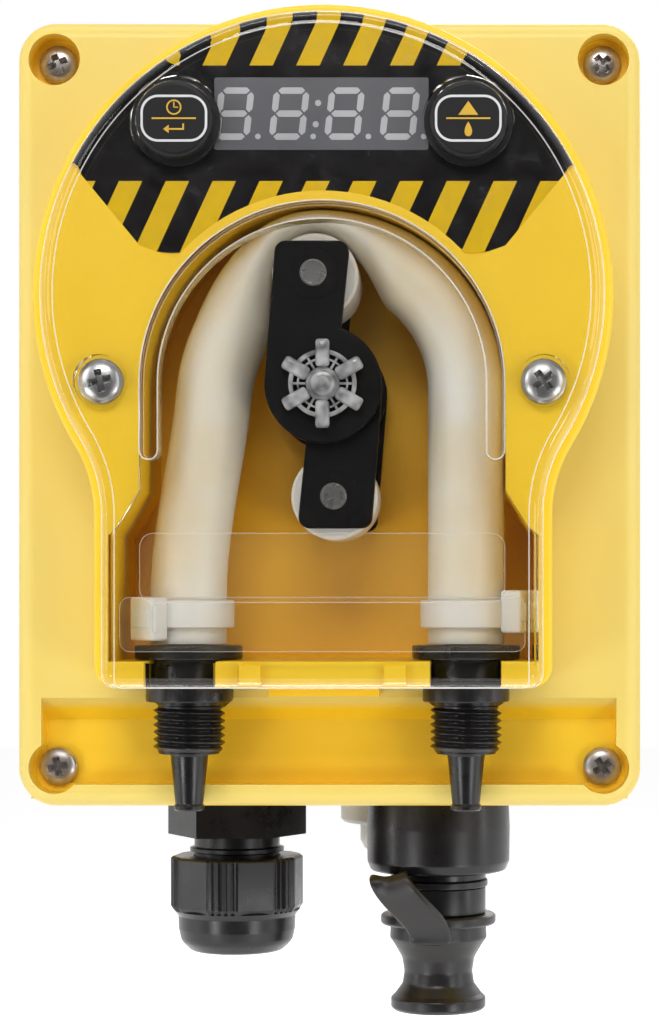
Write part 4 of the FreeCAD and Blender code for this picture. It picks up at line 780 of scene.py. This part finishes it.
def buildStrap():
    # flat tether: a ring in the socket's groove, then a band that arches out and twists down to the cap
    look = strapLook
    ring = latheMesh("strap_ring", [(8.5, -89.9, 0.3), (9.8, -89.9, 0.3), (9.8, -91.3, 0.3), (8.5, -91.3, 0.3)],
                     probeSocket["axis"])
    middles = []
    sideways = []
    for out, turn, height in look["path"]:
        angle = math.radians(-90 - turn)
        middles.append(Vector((*turned(probeSocket["axis"], out, angle), height)))
        sideways.append(Vector((-math.sin(angle), math.cos(angle), 0)))
    rows = []
    last = len(middles) - 1
    for index, middle in enumerate(middles):
        along = (middles[min(last, index + 1)] - middles[max(0, index - 1)]).normalized()
        side = (sideways[index] - along * sideways[index].dot(along)).normalized()
        up = along.cross(side).normalized()
        rows.append([middle + side * look["halfWide"] * across + up * look["thick"] / 2 * over
                     for across, over in ((-1, -0.55), (-0.9, -1), (-0.3, -1), (0.3, -1), (0.9, -1), (1, -0.55),
                                          (1, 0.55), (0.9, 1), (0.3, 1), (-0.3, 1), (-0.9, 1), (-1, 0.55))])
    tether = joinMeshes("tether", [ring, gridMesh("strap_band", rows, sharpAngle=70)])
    piece = addPiece("tether_strap", tether, "black_rubber", "cap_strap", None)
    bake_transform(piece)
    finer = piece.modifiers.new("finer", "SUBSURF")
    finer.levels = 1
    finer.render_levels = 2


buildStrap()

switchBoot = {"axis": (10.0, -14.6)}
addPiece("clear_boot", latheMesh("boot_shell", [
    (8.05, -73.0, 0), (10.9, -73.0, 0.2), (10.9, -80.1, 0.5), (10.2, -80.7, 0.3), (6.9, -80.9, 0.5),
    (6.85, -84.4, 1.2), (6.0, -86.2, 0.9), (4.6, -86.8, 0.5), (0, -87.0, 0), (0, -86.0, 0),
    (4.4, -85.7, 0.4), (5.6, -84.7, 0.6), (6.0, -83.4, 0.6), (6.0, -79.3, 0.2), (7.2, -79.0, 0.2),
    (8.05, -78.4, 0.2),
], switchBoot["axis"]), "cloudy_boot", "switch_boot")
print("ties, gland, socket, cap, strap and boot built")

starLook = {
    "front": 93.75,
    "rings": ((5.3, 6.1, 93.0), (4.2, 4.6, 92.8)),    # inner and outer radius, level of the front
    "ringBack": 91.8,
    # six of each: degrees ahead of the first one, out from the axis, level, size, rounding
    "arms": (0, 5.475, 92.75, (2.5, 1.9, 4.95), 0.6),
    "ribs": (30, 4.2, 92.3, (0.45, 0.9, 2.4), 0.12),
}


def buildStar():
    look = starLook
    front, back = look["front"], look["ringBack"]
    rings = [latheMesh("star_ring", [(inner, back, 0.2), (outer, back, 0.2), (outer, top, 0.2),
                                     (inner, top, 0.2)], (0, 0)) for inner, outer, top in look["rings"]]
    dome = latheMesh("star_dome", [(0, front, 0), (1.2, front, 0.3), (1.5, 93.2, 0.1), (2.1, 93.1, 0.15),
                                   (2.35, 92.4, 0.1), (3.0, 92.3, 0.15), (3.1, 91.7, 0.2), (2.2, 91.3, 0.4),
                                   (0, 91.3, 0)], (0, 0), 72, closed=False)
    meshes = [forwardMesh(mesh, 0, rotorPlace["height"]) for mesh in rings + [dome]]
    for index in range(6):
        for ahead, out, level, size, edge in (look["arms"], look["ribs"]):
            turn = Matrix.Rotation(math.radians(60 * index + ahead), 3, "Y")
            middle = turn @ Vector((0, 0, out)) + Vector((0, -level, rotorPlace["height"]))
            meshes.append(softBlock("star_block", size, middle, turn, edge))
    addPiece("frosted_star", joinMeshes("star", meshes), "frosted_plastic", "bearing_star")


buildStar()

displayPrint = {
    "middle": (-0.7, 52.1),
    "level": 91.89,
    "thick": 0.05,
    "digitHigh": 9.35,
    "digitWide": 6.4,
    "stroke": 1.15,
    "step": 9.85,
    "lean": 0.11,                 # how far the tops lean to the right for each millimetre of height
    "gap": 0.24,
    "shift": -0.3,                # digits and colon stand this far to the left of their places
    "point": (0.75, 0.6, 0.5),    # out from the digit's right edge, up from its foot, radius
    "colon": (1.9, 0.55),         # up and down from the middle, radius
}


def segmentOutlines(look, centreX, centreZ):
    half = look["stroke"] / 2
    gap = look["gap"]
    sideX = look["digitWide"] / 2 - half
    endZ = look["digitHigh"] / 2 - half
    right = sideX - gap
    bars = []
    for level in (-1, 0, 1):
        z = level * endZ
        bars.append([(-right, z), (half - right, z + half), (right - half, z + half), (right, z),
                     (right - half, z - half), (half - right, z - half)])
    for x in (-sideX, sideX):
        for level in (-1, 1):
            low = min(0, level * endZ) + gap
            top = max(0, level * endZ) - gap
            bars.append([(x, low), (x + half, low + half), (x + half, top - half), (x, top),
                         (x - half, top - half), (x - half, low + half)])
    return [[(centreX + x + z * look["lean"], centreZ + z) for x, z in bar] for bar in bars]


def buildDigits():
    look = displayPrint
    middleX, middleZ = look["middle"]
    outX, upZ, pointRadius = look["point"]
    outlines = []
    for place in (-1.5, -0.5, 0.5, 1.5):
        x = middleX + place * look["step"]
        outlines += segmentOutlines(look, x + look["shift"], middleZ)
        outlines.append(roundOutline(x + look["digitWide"] / 2 + outX, middleZ - look["digitHigh"] / 2 + upZ,
                                     pointRadius))
    reach, colonRadius = look["colon"]
    for up in (-reach, reach):
        outlines.append(roundOutline(middleX + look["shift"] + up * look["lean"], middleZ + up, colonRadius))
    mesh = flatMesh("digits", outlines, look["level"], look["thick"])
    addPiece("unlit_digits", mesh, "unlit_segment")


buildDigits()

buttonPrint = {
    "height": 50.5,
    "across": 26.0,
    "level": 97.4,
    "thick": 0.03,
    "half": (5.9, 4.15),
    "corner": 3.1,
    "line": 0.42,
    "bar": (-3.9, -0.14, 3.9, 0.14),    # left, low, right, top, from the button's middle
    "clock": (1.95, 1.35, 1.08),        # height of its middle, outer and inner radius
    "hands": ((-0.11, 1.9, 0.11, 2.9), (-0.05, 1.84, 0.75, 2.04)),
    "arrowHead": [(-1.9, -1.9), (-0.9, -1.15), (-0.9, -2.65)],
    "arrowStem": ((-1.0, -2.05, 1.8, -1.75), (1.5, -1.76, 1.8, -0.95)),
    "triangle": [(-1.75, 0.6), (1.75, 0.6), (0, 3.05)],
    "drop": (-1.9, 0.86, 1.3),          # height of its middle, half width, half height
}


def buildButtonPrints():
    look = buttonPrint
    level, thick, line, corner = look["level"], look["thick"], look["line"], look["corner"]
    halfX, halfZ = look["half"]
    z = look["height"]

    def box(left, low, right, top):
        return [(left, low), (right, low), (right, top), (left, top)]

    for side, label in ((-1, "left"), (1, "right")):
        x = side * look["across"]
        outer = roundedLoop(x, z, halfX, halfZ, corner)
        inner = roundedLoop(x, z, halfX - line, halfZ - line, corner - line)
        addPiece("outline_" + label, bandMesh("button_outline", outer, inner, level, thick), "white_ink",
                 body=label + "_button")
        shapes = [box(*look["bar"])]
        meshes = []
        if label == "left":
            # clock over the bar, set arrow under it
            up, outerRadius, innerRadius = look["clock"]
            meshes.append(bandMesh("clock", roundOutline(x, z + up, outerRadius, 40),
                                   roundOutline(x, z + up, innerRadius, 40), level, thick))
            shapes += [box(*hand) for hand in look["hands"]]
            shapes += [look["arrowHead"]] + [box(*part) for part in look["arrowStem"]]
        else:
            # triangle over the bar, drop under it
            up, wide, high = look["drop"]
            turns = [2 * math.pi * step / 33 for step in range(33)]
            shapes += [look["triangle"], [(wide * math.sin(turn) * (0.5 - 0.5 * math.cos(turn)) ** 0.5,
                                           up + high * math.cos(turn)) for turn in turns]]
        placed = [[(x + across, z + above) for across, above in shape] for shape in shapes]
        meshes.append(flatMesh("button_icon", placed, level, thick))
        addPiece("icon_" + label, joinMeshes("icon", meshes), "amber_ink", body=label + "_button")


buildButtonPrints()

filmShape = {
    "level": 91.62,
    "thick": 0.2,
    "centre": 20.0,
    "radius": 49.4,
    "archCentre": 4.0,
    "archRadius": 34.4,
    # right lobe from the outer circle round to the arch, as (across, height)
    "lobe": [(43.4, 43.6), (42.9, 40.8), (41.6, 37.0), (39.9, 34.3), (37.7, 31.9), (35.4, 29.9), (33.0, 28.6),
             (30.7, 27.8), (28.4, 27.4), (26.6, 27.3), (25.3, 27.4)],
    "windowHalf": (19.1, 6.45),
    "windowMiddle": (-0.2, 52.1),
    "windowCorner": 0.4,
    "windowLevel": 91.82,
    "windowThick": 0.05,
}


def buildFilm():
    # printed film in its shallow recess, with the grey display window on top
    look = filmShape
    lobe = look["lobe"]
    startAngle = math.atan2(lobe[0][1] - look["centre"], lobe[0][0])
    archAngle = math.atan2(lobe[-1][1] - look["archCentre"], lobe[-1][0])
    outline = list(lobe)
    outline += arcPoints(0, look["archCentre"], look["archRadius"], archAngle, math.pi - archAngle, 60)[1:-1]
    outline += [(-x, z) for x, z in reversed(lobe)]
    outline += arcPoints(0, look["centre"], look["radius"], math.pi - startAngle, startAngle, 96)[1:-1]
    film = flatMesh("film", [outline], look["level"], look["thick"])
    addPiece("printed_film", film, "hazard_film", "panel_overlay")
    pane = roundedLoop(*look["windowMiddle"], *look["windowHalf"], look["windowCorner"], 4)
    window = flatMesh("window", [pane], look["windowLevel"], look["windowThick"])
    addPiece("display_window", window, "display_filter")


buildFilm()

screwLook = {
    # head: radius, height of the dome, level of its seat; places: x, height, turn of the cross in degrees
    "case": {"head": (3.6, 1.9, 68.2), "finish": "worn_zinc",
             "places": [(-51, 65.8, 24), (51, 65.8, 40), (-51, -65.8, 12), (51, -65.8, 33)]},
    "cover": {"head": (4.05, 2.3, 93.45), "finish": "zinc_plate", "places": [(-39.4, 4.3, 14), (39.4, 4.3, 38)]},
}
screwCross = {
    "reach": 0.5,      # as a share of the head's radius
    "half": 0.6,
    "deep": 1.7,
    "wall": (-0.04, 0.22),    # distances inside the cross over which its wall falls
}


def screwHead(x, height, turn, radius, tall, seat):
    # pan head with a cross-shaped recess, its slots narrowing with depth
    rings = 44
    around = 112
    reach, half = screwCross["reach"] * radius, screwCross["half"]
    wallTop, wallFoot = screwCross["wall"]
    angles = [2 * math.pi * step / around for step in range(around)]
    rows = []
    for index in range(rings + 1):
        share = index / rings
        out = radius * share
        top = seat + tall * (0.32 + 0.68 * math.sqrt(max(0.0, 1 - share ** 2.4)))
        row = []
        for angle in angles:
            acrossX, acrossZ = [abs(part) for part in turned((0, 0), out, angle - math.radians(turn))]
            inside = -min(max(acrossX - reach, acrossZ - half), max(acrossZ - reach, acrossX - half))
            depth = screwCross["deep"] * ease((inside - wallTop) / (wallFoot - wallTop))
            outX, outZ = turned((x, height), out, angle)
            row.append((outX, depth - top, outZ))
        rows.append(row)
    rows.append([(outX, -seat, outZ) for outX, outZ in [turned((x, height), radius, angle) for angle in angles]])
    return gridMesh("screw_head", rows, sharpAngle=50)


for label, look in screwLook.items():
    heads = [screwHead(*place, *look["head"]) for place in look["places"]]
    addPiece(label + "_screw_heads", joinMeshes("heads", heads), look["finish"], label + "_screws")

# bright beads along the clear cover's edges: painted highlights, laid on as pieces of their own
paintedEdgeHighlights = {
    "bossRadius": 52.0,
    "bossCentre": 20.0,
    "neckHalf": 41.0,
    "neckArc": -19.5,     # height from which the neck's sides run straight down
    "bottom": -50.2,
    # keyhole lines: how far in from the boss's edge, corner, level, radius of the bead
    "outlines": ((4.25, 1.2, 96.0, 0.12), (1.75, 2.3, 93.9, 0.11), (1.8, 2.3, 92.25, 0.08)),
    "arch": (32.45, 29.2, 4.0, -8.0),     # outer and inner radius, height of the middle, ends of the legs
    # arch lines: how far in from the arch's edge, level, radius of the bead
    "archLines": ((0.0, 94.6, 0.15), (0.25, 88.5, 0.08)),
    # lower frames: half width, top, bottom, corner, level, radius of the bead
    "pads": ((32.5, -22.7, -35.0, 2.4, 93.0, 0.05), (36.1, -34.1, -43.8, 1.8, 92.6, 0.05)),
    "hazeThick": 0.05,
}


def keyholeLoop(look, inset, corner):
    radius = look["bossRadius"]
    half = look["neckHalf"]
    drop = look["bossCentre"] - look["neckArc"]
    neck = (half * half + drop * drop - radius * radius) / (2 * (radius - half))
    arcX = half + neck
    slope = math.atan2(drop, arcX)
    right = arcPoints(0, look["bossCentre"], radius - inset, math.pi / 2, -slope, 60)
    right += arcPoints(arcX, look["neckArc"], neck + inset, math.pi - slope, math.pi, 24, first=1)
    right += arcPoints(half - inset - corner, look["bottom"] + corner, corner, 0, -math.pi / 2, 8)
    return right + [(-x, z) for x, z in reversed(right[1:])]


def archLoop(look, shrink):
    outer, inner, centre, end = look["arch"]
    outer -= shrink
    inner += shrink
    half = (outer - inner) / 2
    middle = (outer + inner) / 2
    points = arcPoints(0, centre, outer, 0, math.pi, 72)
    points += arcPoints(-middle, end, half, math.pi, 2 * math.pi, 10)
    points += arcPoints(0, centre, inner, math.pi, 0, 72)
    return points + arcPoints(middle, end, half, math.pi, 2 * math.pi, 10)


def beadMesh(name, points, level, radius):
    # a fine round bead along a closed outline
    rows = []
    count = len(points)
    for index, (x, z) in enumerate(points):
        beforeX, beforeZ = points[index - 1]
        afterX, afterZ = points[(index + 1) % count]
        along = Vector((afterX - beforeX, afterZ - beforeZ))
        along.normalize()
        rows.append([(x + out * along.y, -(level + up), z - out * along.x)
                     for out, up in roundOutline(0, 0, radius, 6)])
    return gridMesh(name, rows, closeRows=True, sharpAngle=90)


def buildPaintedHighlights():
    # bright beads along the clear cover's edges and frames, painted highlights for the light that its polished
    # edges gather into thin bright lines, and the faint haze of its two lower frames
    look = paintedEdgeHighlights
    beads = [beadMesh("rim_highlight", keyholeLoop(look, inset, corner), level, width)
             for inset, corner, level, width in look["outlines"]]
    beads += [beadMesh("arch_highlight", archLoop(look, shrink), level, width)
              for shrink, level, width in look["archLines"]]
    plates = []
    for half, top, bottom, corner, level, width in look["pads"]:
        outline = roundedLoop(0, (top + bottom) / 2, half, (top - bottom) / 2, corner, 6)
        beads.append(beadMesh("pad_highlight", outline, level, width))
        plates.append(flatMesh("pad_haze", [outline], level, look["hazeThick"]))
    for name, meshes, finishName in (("pad_haze", plates, "pad_haze"), ("painted_highlight_lines", beads, "polished_edge")):
        piece = addPiece("cover_" + name, joinMeshes(name, meshes), finishName)
        piece.visible_shadow = False


buildPaintedHighlights()

forkLook = {
    "hub": 10.5,
    "outerEdge": -8.7,      # long side, straight down to the hub
    "innerTop": 4.6,        # short side, at the end of the arm
    "innerFoot": 3.2,       # and where it meets the hub
    "reach": 25.7,
    "corner": 2.0,
    # back and front level, and 1 for the arm that points up or -1 for the one that points down
    "plates": {
        "upper_front": (88.7, 91.2, 1), "upper_rear": (65.2, 67.7, 1),
        "lower_front": (86.1, 88.6, -1), "lower_rear": (62.6, 65.1, -1),
    },
    "eased": (0.28, 3, 50),
}


def forkOutline(look, sign):
    # one arm with a round hub at its foot; the lower fork is the same shape turned half round
    hub = look["hub"]
    radius = look["corner"]
    startX, startZ = look["outerEdge"], look["reach"] - radius
    touch = math.atan2(startZ, startX) + math.acos(hub / math.hypot(startX, startZ))
    foot = math.acos(look["innerFoot"] / hub)
    points = arcPoints(look["innerTop"] - radius, startZ, radius, 0, math.pi / 2, 8)
    points += arcPoints(startX + radius, startZ, radius, math.pi / 2, math.pi, 8)
    points += arcPoints(0, 0, hub, touch, 2 * math.pi + foot, 64)
    return [(sign * x, rotorPlace["height"] + sign * z) for x, z in points]


for label, (back, front, sign) in forkLook["plates"].items():
    plate = flatMesh("fork_plate_" + label + "_shape", [forkOutline(forkLook, sign)], back, front - back)
    piece = addPiece("fork_" + label, plate, "fork_black", "fork_plate_" + label, "rotor")
    easeEdges(piece, *forkLook["eased"])


def buildPinFaces():
    # turned ends of the two pins: a bright chamfer round a duller face, and the ring pressed round it
    tilt = math.radians(rotorPlace["pinTilt"])
    for label in ("upper", "lower"):
        level, sign = forkLook["plates"][label + "_front"][1:]
        x = -sign * rotorPlace["pinCircle"] * math.sin(tilt)
        height = rotorPlace["height"] + sign * rotorPlace["pinCircle"] * math.cos(tilt)
        face = latheMesh("pin_end", [(0, level + 0.42, 0), (1.95, level + 0.42, 0.05), (2.05, level + 0.55, 0.05),
                                     (2.2, level + 0.55, 0.05), (2.4, level + 0.3, 0.05), (2.4, level, 0)],
                         (0, 0), 72, closed=False)
        addPiece("pin_end_" + label, forwardMesh(face, x, height), "pin_steel", body="rotor")
        rim = latheMesh("pin_rim", [(4.5, level - 0.1, 0.02), (4.5, level + 0.1, 0.04), (4.8, level + 0.1, 0.04),
                                    (4.8, level - 0.1, 0.02)], (0, 0), 72)
        addPiece("pin_rim_" + label, forwardMesh(rim, x, height), "fork_black", body="rotor")


buildPinFaces()
print("star, display, button prints, film, screws, edge lines, forks and pins built")

floorLook = {
    "reach": 3.0,
    "front": -0.3,
    "below": 0.12,       # metres under the lowest point of the pump
    "colour": shade(244, 244, 244),
    "glow": 0.62,
}


def buildStage():
    # a pale floor under the hanging pump, white to the camera apart from its shadow
    look = floorLook
    reach, front, bottom = look["reach"], look["front"], cadBox[0][2] - look["below"]
    mesh = bpy.data.meshes.new("floor")
    mesh.from_pydata([(-reach, front, bottom), (reach, front, bottom), (reach, reach, bottom),
                      (-reach, reach, bottom)], [], [(0, 1, 2, 3)])
    floor = addObject("floor", mesh)
    material, tree, shader = newMaterial("pale_floor")
    setInputs(tree, shader, {"Base Color": look["colour"], "Roughness": 0.9})
    glow = addNode(tree, "ShaderNodeEmission", {"Color": (1, 1, 1, 1), "Strength": look["glow"]})
    lit = addNode(tree, "ShaderNodeAddShader", {0: shader.outputs[0], 1: glow.outputs[0]})
    path = addNode(tree, "ShaderNodeLightPath").outputs
    shiny = mathStep(tree, "MAXIMUM", path["Is Glossy Ray"], path["Is Transmission Ray"])
    seen = mathStep(tree, "MAXIMUM", path["Is Camera Ray"], shiny)
    above = mixShaders(tree, seen, shader.outputs[0], lit.outputs[0])
    # from underneath the floor is open, so that the pump can be looked at from below
    underneath = addNode(tree, "ShaderNodeNewGeometry").outputs["Backfacing"]
    clear = addNode(tree, "ShaderNodeBsdfTransparent").outputs[0]
    setInputs(tree, tree.nodes["Material Output"], {"Surface": mixShaders(tree, underneath, above, clear)})
    mesh.materials.append(material)


worldLook = {
    "softLight": 0.34,
    "dimRoom": 0.02,              # what mirrors and glass see behind the camera
    "roomEdges": (-0.7, -0.1),    # front-to-back directions between which it turns into the white backdrop
}


def buildWorld():
    # even soft light all round; mirrors and glass see a white backdrop and a dim room behind the camera
    world = bpy.data.worlds.new("studio")
    bpy.context.scene.world = world
    world.use_nodes = True
    tree = world.node_tree
    white = (1, 1, 1, 1)
    soft = tree.nodes["Background"]
    setInputs(tree, soft, {"Color": white, "Strength": worldLook["softLight"]})
    backdrop = addNode(tree, "ShaderNodeBackground", {"Color": white, "Strength": 1.0})
    axes = splitAxes(tree, addNode(tree, "ShaderNodeTexCoord").outputs["Generated"])
    room = spread(tree, axes["Y"], worldLook["dimRoom"], 1.0, *worldLook["roomEdges"])
    mirrored = addNode(tree, "ShaderNodeBackground", {"Color": white, "Strength": room})
    path = addNode(tree, "ShaderNodeLightPath").outputs
    shiny = mathStep(tree, "MAXIMUM", path["Is Glossy Ray"], path["Is Transmission Ray"])
    around = mixShaders(tree, shiny, soft.outputs[0], mirrored.outputs[0])
    surface = mixShaders(tree, path["Is Camera Ray"], around, backdrop.outputs[0])
    setInputs(tree, tree.nodes["World Output"], {"Surface": surface})


softBoxes = {
    # name: place, aimed at, width, height, watts
    "keyLeft": ((-0.9, -0.9, 0.4), (0, -0.07, 0.0), 0.45, 0.7, 3.1),
    "fillRight": ((0.95, -0.85, 0.3), (0, -0.07, 0.0), 0.4, 0.7, 2.6),
    "lowLeft": ((-0.7, -0.9, -0.42), (0, -0.07, -0.05), 0.3, 0.3, 2.4),
    "lowRight": ((0.73, -0.9, -0.42), (0, -0.07, -0.05), 0.3, 0.3, 2.4),
    "frontAbove": ((-0.05, -1.0, 0.58), (0, -0.07, 0.0), 0.5, 0.25, 3.9),
    "topStrip": ((0.0, -0.2, 1.1), (0, -0.07, 0.0), 1.2, 0.12, 3.0),
    "leftStrip": ((-1.0, -0.25, 0.0), (0, -0.07, 0.0), 0.08, 1.0, 1.4),
    "rightStrip": ((1.0, -0.25, 0.0), (0, -0.07, 0.0), 0.08, 1.0, 1.4),
    "backRim": ((0.3, 0.9, 0.6), (0, 0.0, 0.0), 0.9, 0.7, 6.0),
}


def buildLights():
    for name, (spot, aim, width, height, watts) in softBoxes.items():
        lamp = bpy.data.lights.new(name, "AREA")
        lamp.shape = "RECTANGLE"
        lamp.size = width
        lamp.size_y = height
        lamp.energy = watts
        holder = addObject(name, lamp)
        holder.location = spot
        holder.rotation_euler = (Vector(aim) - Vector(spot)).to_track_quat("-Z", "Y").to_euler()


cameraLook = {
    "place": (0.028, -0.554, -0.0346),
    "lens": 90.9,
    "shift": (-0.1466, 0.086),
}


def buildCamera():
    # level view from the front, a little right of the middle, framed by a small lens shift
    lens = bpy.data.cameras.new("camera")
    lens.lens = cameraLook["lens"]
    lens.sensor_width = 36
    lens.shift_x, lens.shift_y = cameraLook["shift"]
    lens.clip_start = 0.01
    holder = addObject("camera", lens)
    holder.location = cameraLook["place"]
    holder.rotation_euler = (math.radians(90), 0, 0)
    bpy.context.scene.camera = holder


buildStage()
buildWorld()
buildLights()
buildCamera()
bpy.context.scene.view_settings.view_transform = "Standard"
print("studio ready")
